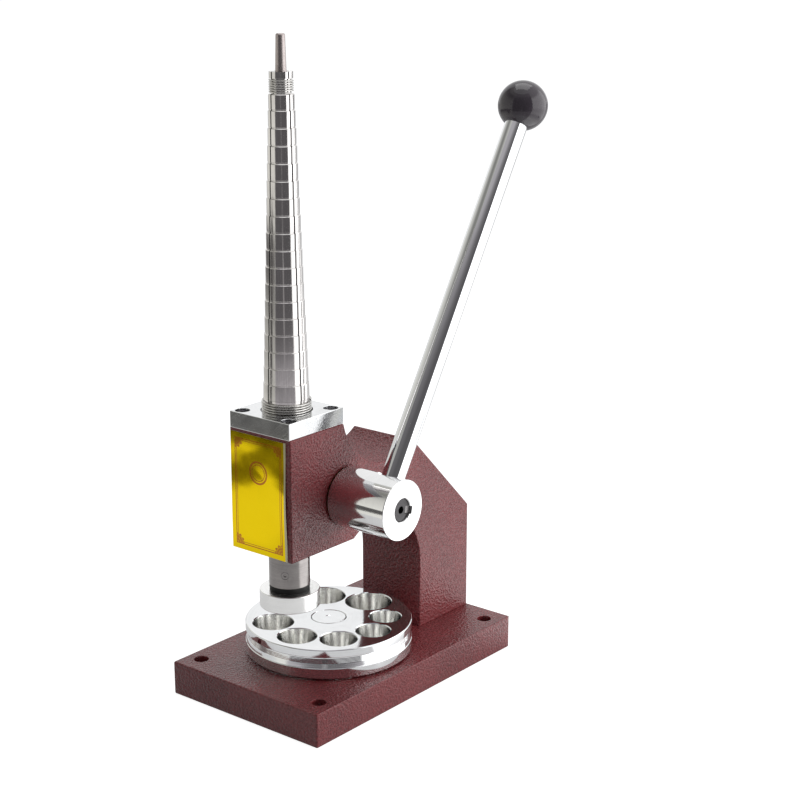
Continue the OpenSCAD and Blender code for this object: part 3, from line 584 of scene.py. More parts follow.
def newGeometryTree(name, inputs):
    tree = bpy.data.node_groups.new(name, "GeometryNodeTree")
    tree.interface.new_socket("Geometry", in_out="OUTPUT", socket_type="NodeSocketGeometry")
    tree.interface.new_socket("Geometry", in_out="INPUT", socket_type="NodeSocketGeometry")
    for socketName, kind, value in inputs:
        socket = tree.interface.new_socket(socketName, in_out="INPUT", socket_type=kind)
        if value is not None:
            socket.default_value = value
    given = tree.nodes.new("NodeGroupInput").outputs
    result = tree.nodes.new("NodeGroupOutput").inputs[0]
    return tree, given, result


# Ends a tree: real geometry with one material
def endTree(tree, geometry, material, result):
    real = addNode(tree, "GeometryNodeRealizeInstances", {"Geometry": geometry}).outputs[0]
    painted = addNode(tree, "GeometryNodeSetMaterial", {"Geometry": real, "Material": material})
    tree.links.new(painted.outputs[0], result)


def makeScrewTree():
    tree, given, result = newGeometryTree("socketScrews", [
        ("Head", "NodeSocketFloat", 7.0), ("Head Height", "NodeSocketFloat", 4.0),
        ("Shank", "NodeSocketFloat", 4.0), ("Shank Length", "NodeSocketFloat", 11.0),
        ("Socket", "NodeSocketFloat", 3.0), ("Upside Down", "NodeSocketFloat", 0.0),
        ("Material", "NodeSocketMaterial", None)])

    def mm(socket, factor=0.001):
        return mathNode(tree, "MULTIPLY", socket, factor)

    def cylinder(radiusTop, radiusLow, depth, height, sides=48):
        cone = addNode(tree, "GeometryNodeMeshCone", {"Vertices": sides, "Radius Top": radiusTop,
                       "Radius Bottom": radiusLow, "Depth": depth}).outputs[0]
        lift = addNode(tree, "ShaderNodeCombineXYZ", {2: height}).outputs[0]
        return addNode(tree, "GeometryNodeTransform", {"Geometry": cone,
                                                       "Translation": lift}).outputs[0]

    bevel, radius = mm(given["Head"], 0.00006), mm(given["Head"], 0.0005)
    shoulder = mathNode(tree, "SUBTRACT", mm(given["Head Height"]), bevel)
    lowHead = cylinder(radius, radius, shoulder, 0.0)
    chamfer = cylinder(mathNode(tree, "SUBTRACT", radius, bevel), radius, bevel, shoulder)
    shank = cylinder(mm(given["Shank"], 0.0005), mm(given["Shank"], 0.00042), mm(given["Shank Length"]),
                     mm(given["Shank Length"], -0.001), 32)
    body = addNode(tree, "GeometryNodeMeshBoolean", None, operation="UNION")
    for part in (lowHead, chamfer, shank):
        tree.links.new(part, body.inputs["Mesh 2"])
    corner = mm(given["Socket"], 0.001 / math.sqrt(3))
    hexagon = cylinder(corner, corner, mm(given["Head Height"]), mm(given["Head Height"], 0.0005), 6)
    cut = addNode(tree, "GeometryNodeMeshBoolean", {"Mesh 1": body.outputs[0]}, operation="DIFFERENCE")
    tree.links.new(hexagon, cut.inputs["Mesh 2"])
    turn = addNode(tree, "ShaderNodeCombineXYZ", {
        0: mathNode(tree, "MULTIPLY", given["Upside Down"], math.pi)}).outputs[0]
    points = addNode(tree, "GeometryNodeMeshToPoints", {"Mesh": given["Geometry"]}).outputs[0]
    screws = addNode(tree, "GeometryNodeInstanceOnPoints", {
        "Points": points, "Instance": cut.outputs[0], "Rotation": turn}).outputs[0]
    endTree(tree, screws, given["Material"], result)
    return tree


# Runs a tree on a few points, or on none, and leaves a plain mesh
def growPiece(name, tree, values, points, material, crease=32):
    mesh = bpy.data.meshes.new(name)
    mesh.from_pydata([Vector(point) / 1000 for point in points], [], [])
    piece = linkMesh(name, mesh, material)
    grower = piece.modifiers.new(tree.name, "NODES")
    grower.node_group = tree
    sockets = {item.name: item.identifier for item in tree.interface.items_tree
               if item.item_type == "SOCKET" and item.in_out == "INPUT"}
    for key, value in values.items():
        grower[sockets[key]] = value
    grower[sockets["Material"]] = material
    settle(piece)
    piece.data.materials.clear()
    piece.data.materials.append(material)
    return shade(piece, crease)


screwTree = makeScrewTree()
plateScrews = {"Head": 7.0, "Head Height": 4.0, "Shank": 4.0, "Shank Length": 11.2, "Socket": 3.0}
frameBolts = {"Head": 13.0, "Head Height": 8.0, "Shank": 8.0, "Shank Length": 29.0, "Socket": 6.0,
              "Upside Down": 1.0}
boltPlaces = {"columnMiddle": 58.65, "apart": 22.0, "seat": 9.0}
seat = machine["plateTop"] - topPlate["sink"]
corners = (-topPlate["screwAt"], topPlate["screwAt"])
standFor(growPiece("plateScrews", screwTree, plateScrews,
                   [(x, machine["ramY"] + y, seat) for x in corners for y in corners],
                   finish["blackOxide"]), "plate_screws")
standFor(growPiece("frameBolts", screwTree, frameBolts,
                   [(0, boltPlaces["columnMiddle"] + side * boltPlaces["apart"] / 2, boltPlaces["seat"])
                    for side in (-1, 1)], finish["blackOxide"]), "frame_bolts")
print("top plate and screws set")


def makeLabel(columns=48, rows=72):
    (x0, z0), (x1, z1) = label["low"], label["high"]
    front = machine["ramY"] - machine["headHalf"]
    bm = bmesh.new()

    def pointAt(across, up, thick):      # the film curls off the casting towards its right edge
        lift = (0.03 + label["curl"] * across ** 5 * (0.55 + 0.45 * math.cos(7.5 * up - 3.2))
                + label["bulge"] * math.sin(math.pi * across) * math.sin(2.6 * math.pi * up + 0.6)
                + label["ripple"] * math.sin(2 * math.pi * (across * 0.9 + up * 0.7)))
        ragged = label["ragged"] * across ** 5 * math.sin(6.0 * up + 0.8)
        return bm.verts.new(Vector((x0 + (x1 - x0) * across + ragged,
                                    front - max(0.01, lift) - thick, z0 + (z1 - z0) * up)) / 1000)

    def rim(grid):
        return ([grid[0][column] for column in range(columns)]
                + [grid[row][columns] for row in range(rows)]
                + [grid[rows][column] for column in range(columns, 0, -1)]
                + [grid[row][0] for row in range(rows, 0, -1)])

    sheets = [[[pointAt(column / columns, row / rows, thick) for column in range(columns + 1)]
               for row in range(rows + 1)] for thick in (0.0, label["thick"])]
    for grid in sheets:
        for row in range(rows):
            for column in range(columns):
                bm.faces.new((grid[row][column], grid[row][column + 1], grid[row + 1][column + 1],
                              grid[row + 1][column]))
    low, high = rim(sheets[0]), rim(sheets[1])
    for index in range(len(low)):
        after = (index + 1) % len(low)
        bm.faces.new((low[index], low[after], high[after], high[index])).material_index = 1
    return meshFrom("foilLabel", bm, finish["foil"], finish["filmEdge"], crease=50)


standFor(makeLabel(), "foil_label")
print("label laid")


press = {"low": 52.05, "top": 61.05, "radius": 15.5, "stem": 6.0, "stemTop": 77.05, "ringBore": 6.03,
         "ringRadius": 10.2, "ringBelly": 0.2, "ringTop": 63.55}
drawRod = {"low": 119.05, "tang": 5.0, "shoulder": 133.05, "root": 7.2342, "taperFrom": 147.4,
           "tip": 339.2, "tipRadius": 2.263, "tipFlat": 1.75}
rack = {"low": 64, "high": 132.5, "share": 0.15}


def ramShare(middle):                    # the rack's teeth stay crisper than the ends
    return rack["share"] if rack["low"] <= middle.z <= rack["high"] else 1.0


standFor(roundedCopy("ram", "ramShaft", 0.3, finish["ramSteel"], ramShare), "ram")
standFor(turned("pusherCap", [
    (0, press["low"]), (press["radius"], press["low"], 0.5), (press["radius"], press["top"], 0.45),
    (press["stem"], press["top"], 0.2), (press["stem"], press["stemTop"], 0.8),
    (0, press["stemTop"])], atRam, finish["capSteel"]), "pusher_cap")
standFor(turned("bufferRing", [
    (press["ringBore"], press["top"]), (press["ringRadius"], press["top"], 0.3),
    (press["ringRadius"] + press["ringBelly"], (press["top"] + press["ringTop"]) / 2),
    (press["ringRadius"], press["ringTop"], 0.3), (press["ringBore"], press["ringTop"])],
    atRam, finish["rubber"], closed=True), "buffer_ring")
standFor(roundedCopy("cap_pin", "capPin", 0.15, finish["ramSteel"]), "cap_pin")
standFor(turned("drawRod", [
    (0, drawRod["low"]), (drawRod["tang"], drawRod["low"], 0.4),
    (drawRod["tang"], drawRod["shoulder"]), (drawRod["root"], drawRod["shoulder"], 0.3),
    (drawRod["root"], drawRod["taperFrom"]), (drawRod["tipRadius"], drawRod["tip"] - 0.5, 0.4),
    (drawRod["tipFlat"], drawRod["tip"], 0.15), (0, drawRod["tip"])],
    atRam, finish["drawRodSteel"], sides=96), "draw_rod")
print("ram, cap and draw rod turned")


mandrel = {"footZ": 147.5, "footTop": 151.5, "footRadius": 15.5, "root": 11.4, "rootTop": 161.7,
           "steps": 18, "stepHeight": 8.35, "firstRadius": 6.3, "growth": 0.3, "neckLow": 311.25,
           "neckHigh": 318.4, "neckRadius": 4.9, "crownRadius": 5.8, "crownTop": 321.7,
           "slit": 0.4, "slitTurn": -8, "tipZ": 339.2, "tipRadius": 2.25,
           "taper": 0.026, "play": 0.15, "rootEase": 0.1, "nick": 0.15}


def boreRadius(z):
    return mandrel["tipRadius"] + (mandrel["tipZ"] - z) * mandrel["taper"] + mandrel["play"]


def mandrelProfile():
    m = mandrel
    outer = [(m["footRadius"], m["footZ"], 0.3), (m["footRadius"], m["footTop"], 0.3),
             (m["root"] - m["rootEase"], m["footTop"]), (m["root"] - m["rootEase"], m["rootTop"])]
    for step in range(m["steps"]):
        radius = m["firstRadius"] + (m["steps"] - 1 - step) * m["growth"]
        low = m["rootTop"] + step * m["stepHeight"]
        high = m["neckLow"] if step == m["steps"] - 1 else low + m["stepHeight"]
        nick = m["nick"] if step else 0
        outer += [(radius - nick, low), (radius - nick, low + 0.42), (radius, low + 0.55, 0.12),
                  (radius, high - 0.38, 0.15), (radius - 0.3, high)]
    outer += [(m["neckRadius"], m["neckLow"], 0.1), (m["neckRadius"], m["neckHigh"], 0.1),
              (m["crownRadius"], m["neckHigh"], 0.15), (m["crownRadius"], m["crownTop"], 0.35)]
    return outer


def makeSegment(index, columns=22):
    points = filleted(mandrelProfile(), 3)
    start = math.radians(mandrel["slitTurn"] + 90 * index)
    bm = bmesh.new()

    def across(reach, height):           # one row of points from slit to slit
        edge = math.asin(mandrel["slit"] / reach)
        turns = (start + edge + (math.pi / 2 - 2 * edge) * column / columns
                 for column in range(columns + 1))
        return [bm.verts.new(atRam @ Vector((reach * math.cos(turn), reach * math.sin(turn),
                                             height)) / 1000) for turn in turns]

    outside = [across(radius, height) for radius, height in points]
    inside = [across(boreRadius(height), height) for radius, height in points]
    for row in range(len(points) - 1):
        for column in range(columns):
            bm.faces.new((outside[row][column], outside[row][column + 1], outside[row + 1][column + 1],
                          outside[row + 1][column]))
            bm.faces.new((inside[row][column], inside[row + 1][column], inside[row + 1][column + 1],
                          inside[row][column + 1]))
        for side in (0, -1):
            bm.faces.new((outside[row][side], outside[row + 1][side], inside[row + 1][side],
                          inside[row][side]))
    for row in (0, -1):
        for column in range(columns):
            bm.faces.new((outside[row][column], outside[row][column + 1], inside[row][column + 1],
                          inside[row][column]))
    bmesh.ops.remove_doubles(bm, verts=bm.verts, dist=1e-7)
    bmesh.ops.dissolve_degenerate(bm, edges=bm.edges, dist=1e-7)
    piece = meshFrom("mandrelSegment%d" % (index + 1), bm, finish["mandrelSteel"], crease=30)
    return standFor(piece, "mandrel_segment_%d" % (index + 1))


for quarter in range(4):
    makeSegment(quarter)
print("mandrel segments cut")


# The springs leave room for the segments to spread by 0.36 mm
bandSprings = {"lower": {"wire": 0.85, "pitch": 1.25, "radius": 12.09, "low": 154.6, "high": 161.6},
               "upper": {"wire": 0.76, "pitch": 1.12, "radius": 5.65, "low": 311.4, "high": 318.2}}


def makeSpringTree():
    tree, given, result = newGeometryTree("closeWoundSpring", [
        ("Radius", "NodeSocketFloat", 5.0), ("Wire", "NodeSocketFloat", 0.75),
        ("Pitch", "NodeSocketFloat", 0.8), ("Turns", "NodeSocketFloat", 6.0),
        ("Material", "NodeSocketMaterial", None)])
    radius = mathNode(tree, "MULTIPLY", given["Radius"], 0.001)
    length = mathNode(tree, "MULTIPLY", given["Pitch"], given["Turns"])
    rise = mathNode(tree, "MULTIPLY", length, 0.001)
    path = addNode(tree, "GeometryNodeCurveSpiral", {"Resolution": 72, "Rotations": given["Turns"],
                   "Start Radius": radius, "End Radius": radius, "Height": rise}).outputs[0]
    wire = addNode(tree, "GeometryNodeCurvePrimitiveCircle", {
        "Resolution": 10, "Radius": mathNode(tree, "MULTIPLY", given["Wire"], 0.0005)}).outputs[0]
    tube = addNode(tree, "GeometryNodeCurveToMesh", {"Curve": path, "Profile Curve": wire,
                                                     "Fill Caps": True}).outputs[0]
    endTree(tree, tube, given["Material"], result)
    return tree


springTree = makeSpringTree()


def makeSpring(name, key, node):
    size = bandSprings[key]
    turns = (size["high"] - size["low"] - size["wire"]) / size["pitch"]
    piece = growPiece(name, springTree, {"Radius": size["radius"], "Wire": size["wire"],
                      "Pitch": size["pitch"], "Turns": turns}, [(0, 0, 0)], finish["springWire"], 60)
    lift = (size["low"] + size["wire"] / 2) / 1000
    piece.data.transform(Matrix.Translation((0, machine["ramY"] / 1000, lift)))
    return standFor(piece, node)


makeSpring("upperBandSpring", "upper", "upper_band_spring")
makeSpring("lowerBandSpring", "lower", "lower_band_spring")
print("band springs wound")


hub = {"inner": 21.5, "outer": 57.5, "radius": 15.5, "rodX": 45.0, "seatReach": 13.6, "seatRadius": 8.0,
       "grubX": 28.5, "grubTurn": -150, "keyTurn": -12, "shaftBore": 6.02, "rodBore": 5.02,
       "grubBore": 3.02, "mouth": 0.88, "keyWidth": 4.04}
atRod = leverFrame @ Matrix.Translation((hub["rodX"], 0, 0))


def cutter(corners, place, sides=96):
    bm = bmesh.new()
    turnProfile(bm, filleted(corners), place, sides)
    bmesh.ops.recalc_face_normals(bm, faces=bm.faces)
    return linkShape("cutter", bm)


def carve(piece, *cutters):
    for tool in cutters:
        cut = piece.modifiers.new("cut", "BOOLEAN")
        cut.operation = "DIFFERENCE"
        cut.solver = "EXACT"
        cut.object = tool
        settle(piece)
        bpy.data.objects.remove(tool, do_unlink=True)
    return piece


def aroundShaft(x, turn):
    return (Matrix.Translation((x, machine["pinionY"], machine["pinionZ"]))
            @ Matrix.Rotation(math.radians(turn), 4, "X"))


def makeHub():
    h = hub
    bm = bmesh.new()
    turnProfile(bm, filleted([(0, h["inner"]), (h["radius"], h["inner"], 0.5),
                              (h["radius"], h["outer"], 0.45), (0, h["outer"])]), atPinion, 320)
    bmesh.ops.recalc_face_normals(bm, faces=bm.faces)
    piece = linkShape("leverHub", bm, finish["hubChrome"])
    shaftHole = [(0, h["inner"] - 1), (h["shaftBore"], h["inner"] - 1),
                 (h["shaftBore"], h["outer"] - 0.35), (h["shaftBore"] + h["mouth"], h["outer"] + 0.53),
                 (0, h["outer"] + 0.53)]
    rodSeat = [(0, 0), (h["rodBore"], 0), (h["rodBore"], h["seatReach"]),
               (h["seatRadius"], h["seatReach"], 0.25), (h["seatRadius"], 30), (0, 30)]
    grubHole = [(0, 0), (h["grubBore"], 0), (h["grubBore"], h["radius"] - 0.5),
                (h["grubBore"] + h["mouth"], h["radius"] + 0.5), (0, h["radius"] + 0.5)]
    keyway = bmesh.new()
    bmesh.ops.create_cube(keyway, size=1.0)
    for vertex in keyway.verts:
        local = Vector((vertex.co.x * 40 + 39.5, vertex.co.y * h["keyWidth"] + 5.5,
                        vertex.co.z * h["keyWidth"]))
        vertex.co = (aroundShaft(0, h["keyTurn"]) @ local) / 1000
    carve(piece, cutter(shaftHole, atPinion), linkShape("keyway", keyway),
          cutter(rodSeat, atRod, 128), cutter(grubHole, aroundShaft(h["grubX"], h["grubTurn"]), 64))
    return shade(piece, 24, 95)


standFor(makeHub(), "lever_hub")
standFor(turned("leverRod", [(0, 6.4), (5.0, 6.4, 0.4), (5.0, 13.6), (6.0, 13.6, 0.4), (6.0, 208.742),
                             (4.0, 208.742), (4.0, 221.7, 0.6), (0, 221.7)], atRod,
                finish["leverChrome"], sides=128), "lever_rod")


knob = {"radius": 13.0, "flat": 11.258, "reach": 220.0, "bore": 4.02, "depth": 12.95}


def makeKnob(steps=64):
    radius, reach = knob["radius"], knob["reach"]
    low = reach - knob["flat"]
    edge = math.acos(knob["flat"] / radius)
    profile = [(0, low + knob["depth"]), (knob["bore"], low + knob["depth"]), (knob["bore"], low),
               (radius * math.sin(edge) - 0.3, low)]
    for step in range(1, steps + 1):
        angle = edge + (math.pi - edge) * step / steps
        profile.append((radius * math.sin(angle) if step < steps else 0,
                        reach - radius * math.cos(angle)))
    bm = bmesh.new()
    turnProfile(bm, profile, atRod, 128)
    return meshFrom("ballKnob", bm, finish["knob"], crease=40)


standFor(makeKnob(), "ball_knob")
standFor(roundedCopy("pinion_shaft", "pinionShaft", 0.25, finish["shaftSteel"],
                     lambda middle: 1.0 if abs(middle.x) > 20 else 0.3), "pinion_shaft")
standFor(turned("hubWasher", [(6.05, 20.55), (12.0, 20.55, 0.2), (12.0, 21.5, 0.2), (6.05, 21.5)],
                atPinion, finish["blackOxide"], closed=True), "hub_washer")
standFor(turned("endWasher", [(6.05, -21.5), (11.0, -21.5, 0.2), (11.0, -20.55, 0.2), (6.05, -20.55)],
                atPinion, finish["gearSteel"], closed=True), "end_washer")
standFor(roundedCopy("retaining_ring", "retainingRing", 0.12, finish["blackOxide"]), "retaining_ring")
standFor(roundedCopy("hub_key", "hubKey", 0.2, finish["gearSteel"]), "hub_key")
standFor(roundedCopy("hub_set_screw", "hubSetScrew", 0.2, finish["blackOxide"]), "hub_set_screw")
print("hub and lever fitted")


diePlate = {"count": 8, "first": 17.2, "growth": 1.1, "bridge": 2.35, "wall": 1.75, "turn": 40.5,
            "slope": 6.0, "low": 19.05, "thick": 16.0, "groove": 1.4, "rim": 4.2, "flange": 5.5,
            "mouth": 0.3, "pivot": 6.05, "headBore": 9.3, "headDepth": 5.15, "linesFrom": 0.42,
            "linesTo": 0.97, "lineSteps": 10, "lineDip": 0.07, "rimSides": 288, "holeSides": 128}


def dieCentres():
    d = diePlate
    sizes = [d["first"] + index * d["growth"] for index in range(d["count"])]
    circle = d["count"] * ((sizes[0] + sizes[-1]) / 2 + d["bridge"]) / (2 * math.pi)
    turn, places = d["turn"], []
    for index, size in enumerate(sizes):
        if index:
            turn -= math.degrees(((size + sizes[index - 1]) / 2 + d["bridge"]) / circle)
        angle = math.radians(turn)
        places.append((circle * math.cos(angle), circle * math.sin(angle), size / 2))
    return places, circle + sizes[-1] / 2 + d["wall"]


def makeDiePlate():
    d = diePlate
    places, rim = dieCentres()
    low, top = d["low"], d["low"] + d["thick"]
    bm = bmesh.new()
    # Fine turned lines mark the upper half of the flare between the flange and the rim
    flareLow = (rim - 0.3, low + d["flange"] + 0.3)
    flareHigh = (rim - d["groove"], top - d["rim"] - 0.6)
    lines = []
    for step in range(d["lineSteps"]):
        share = d["linesFrom"] + (d["linesTo"] - d["linesFrom"]) * step / d["lineSteps"]
        dip = d["lineDip"] if step % 2 else 0.0
        lines.append((flareLow[0] + (flareHigh[0] - flareLow[0]) * share - dip,
                      flareLow[1] + (flareHigh[1] - flareLow[1]) * share, 0.03))
    outside = [(rim - 0.45, low), (rim, low + 0.45, 0.2), (rim, low + d["flange"], 0.25),
               flareLow + (0.15,)] + lines
    outside += [flareHigh + (0.2,), (rim - d["groove"], top - d["rim"], 0.1),
                (rim, top - d["rim"], 0.25), (rim, top - 0.4, 0.35), (rim - 0.4, top)]
    rings = turnProfile(bm, filleted(outside, 3), atDie, d["rimSides"])
    loops = {"low": [rings[0]], "top": [rings[-1]]}
    slope = math.tan(math.radians(d["slope"]))
    for x, y, radius in places:
        wall = [(radius - d["thick"] * slope, low), (radius - 0.04, top - 0.4, 0.3),
                (radius + d["mouth"], top)]
        place = Matrix.Translation((x, machine["dieY"] + y, 0))
        before = len(bm.faces)
        hole = turnProfile(bm, filleted(wall, 3), place, d["holeSides"])
        bm.faces.ensure_lookup_table()
        for face in bm.faces[before:before + d["holeSides"]]:
            face.material_index = 1
        loops["low"].append(hole[0])
        loops["top"].append(hole[-1])
    seat = top - d["headDepth"]
    centre = [(d["pivot"], low), (d["pivot"], seat), (d["headBore"], seat),
              (d["headBore"], top - 0.25, 0.15), (d["headBore"] + 0.25, top)]
    hole = turnProfile(bm, filleted(centre, 3), atDie, d["holeSides"])
    loops["low"].append(hole[0])
    loops["top"].append(hole[-1])
    for height, rounds in loops.items():
        flat = [[vertex.co for vertex in loop] for loop in rounds]
        corners = [vertex for loop in rounds for vertex in loop]
        for a, b, c in tessellate_polygon(flat):
            if len({a, b, c}) == 3:
                bm.faces.new((corners[a], corners[b], corners[c]))
    piece = meshFrom("diePlate", bm, finish["dieChrome"], finish["dieBoreSteel"], crease=35, weight=90)
    return standFor(piece, "die_plate")


makeDiePlate()
standFor(turned("diePivotPin", [(0, 4.0), (5.0, 4.0, 0.5), (5.0, 18.0), (6.0, 18.0, 0.15), (6.0, 30.05),
                                (9.0, 30.05, 0.3), (9.0, 35.05, 0.25), (2.0, 35.05, 0.2), (0, 34.25)],
                atDie, finish["dieChrome"]), "die_pivot_pin")
standFor(turned("dieWasher", [(6.05, 18.0), (16.0, 18.0, 0.15), (16.0, 19.0, 0.15), (6.05, 19.0)],
                atDie, finish["washerBronze"], closed=True), "die_washer")
print("die plate turned")


# Nodes that keep their CAD mesh and take a better finish
keptNodes = {"bearing_bush_right": "sinteredBronze", "bearing_bush_left": "sinteredBronze",
             "drive_pinion": "gearSteel", "pinion_key": "gearSteel"}
for node, key in keptNodes.items():
    for place in nodes[node].material_slots:
        place.material = finish[key]


# What mirrors see is a list of cards. A card runs out over the floor to the wall and up it, and its
# tones are levels at distances along that way. Angles are azimuths in degrees, lengths are metres.
stage = {"ambient": 0.3, "floorTone": 0.5, "floorHalf": 12.0, "floorLow": -0.0001, "cameraGlow": 0.9,
         "mirrorGlow": 0.4, "wall": 1.3}
softboxes = {
    "rightSoftbox": {"azimuth": 36, "elevation": 13, "distance": 1.3, "width": 0.8, "height": 0.8,
                     "radiance": 4.4, "inMirrors": False},
    "topSoftbox": {"azimuth": 115, "elevation": 73, "distance": 1.3, "width": 0.9, "height": 0.9,
                   "radiance": 1.3, "inMirrors": True},
}
mirrorCards = {
    "frontShade": {"angles": (-104, -4.5), "soft": 2.5, "tint": (0.99, 0.95, 0.99), "tones": [
        (0.3, 0.5), (0.62, 0.5), (0.7, 0.42), (0.76, 0.27), (0.82, 0.12), (2.2, 0.11), (2.55, 0.17),
        (2.7, 0.23), (2.85, 0.31), (3.0, 0.43), (3.8, 0.5)]},
    "frontStreak": {"angles": (-58, -51.5), "soft": 1.5, "tint": (1.0, 0.96, 0.97), "tones": [
        (0.74, 0.34), (1.6, 0.34)]},
    "leftPanel": {"angles": (-192, -104), "soft": 4, "tint": (1.0, 0.99, 0.93), "tones": [
        (0.26, 0.85), (0.6, 0.8), (0.7, 0.55), (0.83, 0.5), (1.0, 0.35), (1.25, 0.6), (1.4, 0.85),
        (2.15, 0.62), (2.35, 0.48), (2.5, 0.33), (2.7, 0.23), (2.9, 0.27), (3.1, 0.5), (3.8, 0.6)]},
    "leftRail": {"angles": (-190, -106), "soft": 2, "reach": 0.8, "tint": (1.0, 0.96, 0.94), "tones": [
        (0.825, 0.17), (0.92, 0.17)]},
    "hubShade": {"angles": (-134, -120), "soft": 2, "reach": 0.8, "tint": (1.0, 0.97, 0.95), "tones": [
        (0.66, 0.1), (0.94, 0.1)]},
    "rightGlow": {"angles": (-4.5, 76), "soft": 2.5, "tint": (1.0, 1.0, 1.0), "tones": [
        (0.08, 2.2), (0.3, 2.2), (0.36, 1.7), (0.44, 1.2), (0.52, 1.2), (0.6, 1.8), (1.3, 1.6),
        (1.5, 2.2), (2.3, 2.2), (2.6, 1.2)]},
}
# Dark patches on the floor that only mirrors see, painted reflections: the dark blob on the foil label,
# the dark front of the top plate and the bluish patch on its right face
floorSpots = {
    "labelSpot": {"centre": (-0.288, -0.378), "half": (0.078, 0.029), "turn": 73,
                  "tone": (0.16, 0.15, 0.13)},
    "plateSpot": {"centre": (-0.37, -0.45), "half": (0.085, 0.1), "turn": 51,
                  "tone": (0.085, 0.083, 0.08)},
    "rightSpot": {"centre": (0.342, 0.378), "half": (0.05, 0.026), "turn": 50,
                  "tone": (0.14, 0.19, 0.24)},
}


# Two masks: rays straight from the camera, and rays that mirrors or glass send on
def whiteSeen(tree):
    path = tree.nodes.new("ShaderNodeLightPath").outputs
    mirrors = mathNode(tree, "MAXIMUM", path["Is Glossy Ray"], path["Is Transmission Ray"])
    return path["Is Camera Ray"], mirrors


def makeWorld():
    world = bpy.data.worlds.new("paleStudio")
    world.use_nodes = True
    tree = world.node_tree
    tree.nodes.clear()
    camera, mirrors = whiteSeen(tree)
    soft = addNode(tree, "ShaderNodeBackground", {"Color": (0.97, 0.98, 1.0, 1),
                                                  "Strength": stage["ambient"]})
    white = addNode(tree, "ShaderNodeBackground", {"Color": (1, 1, 1, 1), "Strength": 1.0})
    mix = addNode(tree, "ShaderNodeMixShader", {0: mathNode(tree, "MAXIMUM", camera, mirrors),
                                                1: soft.outputs[0], 2: white.outputs[0]})
    out = tree.nodes.new("ShaderNodeOutputWorld")
    tree.links.new(mix.outputs[0], out.inputs[0])
    bpy.context.scene.world = world


def emptyMaterial(name):
    material = bpy.data.materials.new(name)
    material.use_nodes = True
    material.node_tree.nodes.clear()
    return material, material.node_tree


def makeFloor():
    material, tree = emptyMaterial("paleFloor")
    tone = stage["floorTone"]
    camera, mirrors = whiteSeen(tree)
    matt = addNode(tree, "ShaderNodeBsdfDiffuse", {"Color": (tone, tone, tone, 1)})
    level = mathNode(tree, "MULTIPLY_ADD", camera, stage["cameraGlow"],
                     mathNode(tree, "MULTIPLY", mirrors, stage["mirrorGlow"]))
    glow = addNode(tree, "ShaderNodeEmission", {"Color": (1, 1, 1, 1), "Strength": level})
    both = addNode(tree, "ShaderNodeAddShader", {0: matt.outputs[0], 1: glow.outputs[0]})
    out = tree.nodes.new("ShaderNodeOutputMaterial")
    tree.links.new(both.outputs[0], out.inputs[0])
    size, low = stage["floorHalf"], stage["floorLow"]
    mesh = bpy.data.meshes.new("paleFloor")
    mesh.from_pydata([(-size, -size, low), (size, -size, low), (size, size, low), (-size, size, low)],
                     [], [(0, 1, 2, 3)])
    linkMesh("paleFloor", mesh, material)


# A glowing material that fades out where its mask is 0
def glowThrough(material, tree, color, mask):
    glow = addNode(tree, "ShaderNodeEmission", {"Color": color, "Strength": 1.0})
    clear = tree.nodes.new("ShaderNodeBsdfTransparent")
    mix = addNode(tree, "ShaderNodeMixShader", {0: mask, 1: clear.outputs[0], 2: glow.outputs[0]})
    out = tree.nodes.new("ShaderNodeOutputMaterial")
    tree.links.new(mix.outputs[0], out.inputs[0])
    material.cycles.emission_sampling = "NONE"


def mirrorOnly(name, bm, material):
    card = linkShape(name, bm, material)
    card.visible_camera = card.visible_diffuse = card.visible_shadow = card.visible_transmission = False


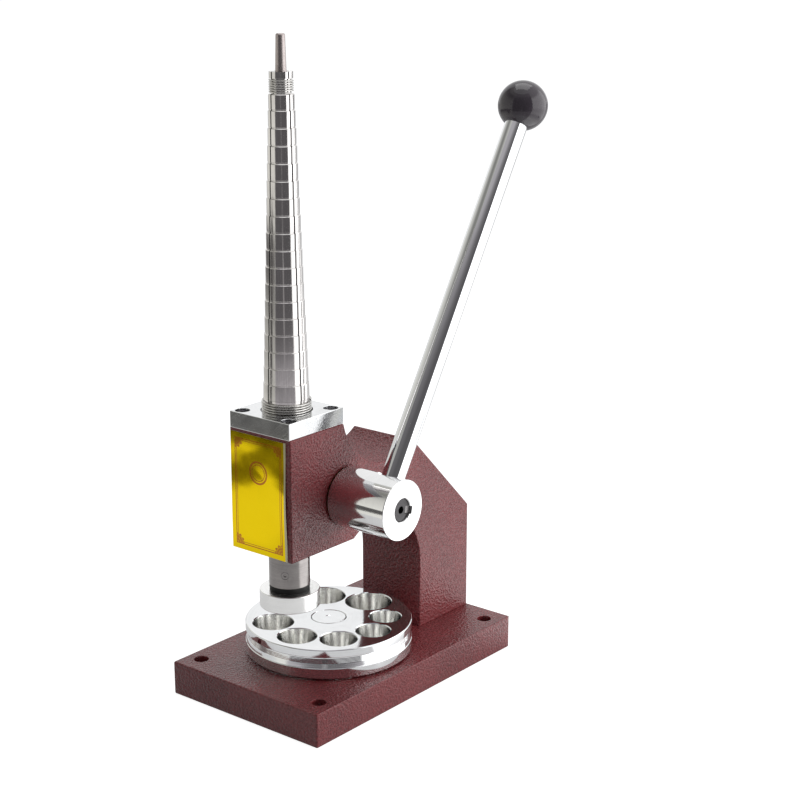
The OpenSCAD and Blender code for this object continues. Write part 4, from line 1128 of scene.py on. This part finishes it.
def addMirrorCard(name, lift, angles, soft, tint, tones, reach=stage["wall"], columns=36):
    reach -= lift
    first, last = tones[0][0], tones[-1][0]
    middle = math.radians((angles[0] + angles[1]) / 2)
    half = math.radians((angles[1] - angles[0]) / 2)
    edge = math.radians(soft)
    material, tree = emptyMaterial(name)
    place = tree.nodes.new("ShaderNodeTexCoord").outputs["Object"]
    turned = addNode(tree, "ShaderNodeVectorRotate", {"Vector": place, "Angle": -middle},
                     rotation_type="Z_AXIS").outputs[0]
    part = addNode(tree, "ShaderNodeSeparateXYZ", {0: turned}).outputs
    away = offsetLength(tree, part[0], part[1])
    along = mathNode(tree, "ADD", away, part[2])
    ramp = tree.nodes.new("ShaderNodeValToRGB")
    for index, (at, level) in enumerate(tones):
        stop = ramp.color_ramp.elements[index] if index < 2 else ramp.color_ramp.elements.new(1.0)
        stop.position = (at - first) / (last - first)
        stop.color = [level * share for share in tint] + [1]
    tree.links.new(spread(tree, along, first, last), ramp.inputs[0])
    turn = mathNode(tree, "ABSOLUTE", mathNode(tree, "ARCTAN2", part[1], part[0]))
    ends = mathNode(tree, "MULTIPLY", smooth(tree, along, first, first + 0.05),
                    smooth(tree, along, last - 0.02, last, 1.0, 0.0))
    mask = mathNode(tree, "MULTIPLY", smooth(tree, turn, half - edge, half + edge, 1.0, 0.0), ends)
    glowThrough(material, tree, ramp.outputs[0], mask)
    way = [(at, lift) for at in (first, reach) if first < reach]
    way += [(reach, at - reach) for at in (max(first, reach) + lift + 0.0001, last) if last > reach]
    bm = bmesh.new()
    grid = [[bm.verts.new((out * math.cos(middle + side), out * math.sin(middle + side), height))
             for out, height in way]
            for side in ((half + edge) * (2 * column / columns - 1) for column in range(columns + 1))]
    for left, right in zip(grid, grid[1:]):
        for row in range(len(way) - 1):
            bm.faces.new((left[row], right[row], right[row + 1], left[row + 1]))
    mirrorOnly(name, bm, material)


def addFloorSpot(name, lift, centre, half, turn, tone):
    material, tree = emptyMaterial(name)
    local = addNode(tree, "ShaderNodeMapping", {
        "Vector": tree.nodes.new("ShaderNodeTexCoord").outputs["Object"],
        "Location": (centre[0], centre[1], 0), "Rotation": (0, 0, math.radians(turn)),
        "Scale": (half[0], half[1], 1)}, vector_type="TEXTURE").outputs[0]
    part = addNode(tree, "ShaderNodeSeparateXYZ", {0: local}).outputs
    away = offsetLength(tree, part[0], part[1])
    glowThrough(material, tree, tone + (1,), smooth(tree, away, 0.8, 1.0, 1.0, 0.0))
    bm = bmesh.new()
    place = Matrix.Translation((*centre, lift)) @ Matrix.Rotation(math.radians(turn), 4, "Z")
    bm.faces.new([bm.verts.new(place @ Vector((half[0] * x, half[1] * y, 0)))
                  for x, y in ((-1, -1), (1, -1), (1, 1), (-1, 1))])
    mirrorOnly(name, bm, material)


def addSoftbox(name, azimuth, elevation, distance, width, height, radiance, inMirrors):
    data = bpy.data.lights.new(name, "AREA")
    data.shape = "RECTANGLE"
    data.size, data.size_y = width, height
    data.energy = 4 * width * height * radiance
    lamp = bpy.data.objects.new(name, data)
    turn, rise = math.radians(azimuth), math.radians(elevation)
    out = Vector((math.cos(turn) * math.cos(rise), math.sin(turn) * math.cos(rise), math.sin(rise)))
    lamp.location = Vector((0, 0, 0.15)) + out * distance
    lamp.rotation_euler = out.to_track_quat("Z", "Y").to_euler()
    lamp.visible_camera = False
    lamp.visible_glossy = inMirrors
    bpy.context.scene.collection.objects.link(lamp)


makeWorld()
makeFloor()
for order, (name, card) in enumerate(mirrorCards.items()):      # a later card lies over an earlier one
    addMirrorCard(name, 0.0004 + 0.0002 * order, **card)
for order, (name, spot) in enumerate(floorSpots.items()):
    addFloorSpot(name, 0.002 + 0.0002 * order, **spot)
for name, lamp in softboxes.items():
    addSoftbox(name, **lamp)
print("stage lit")
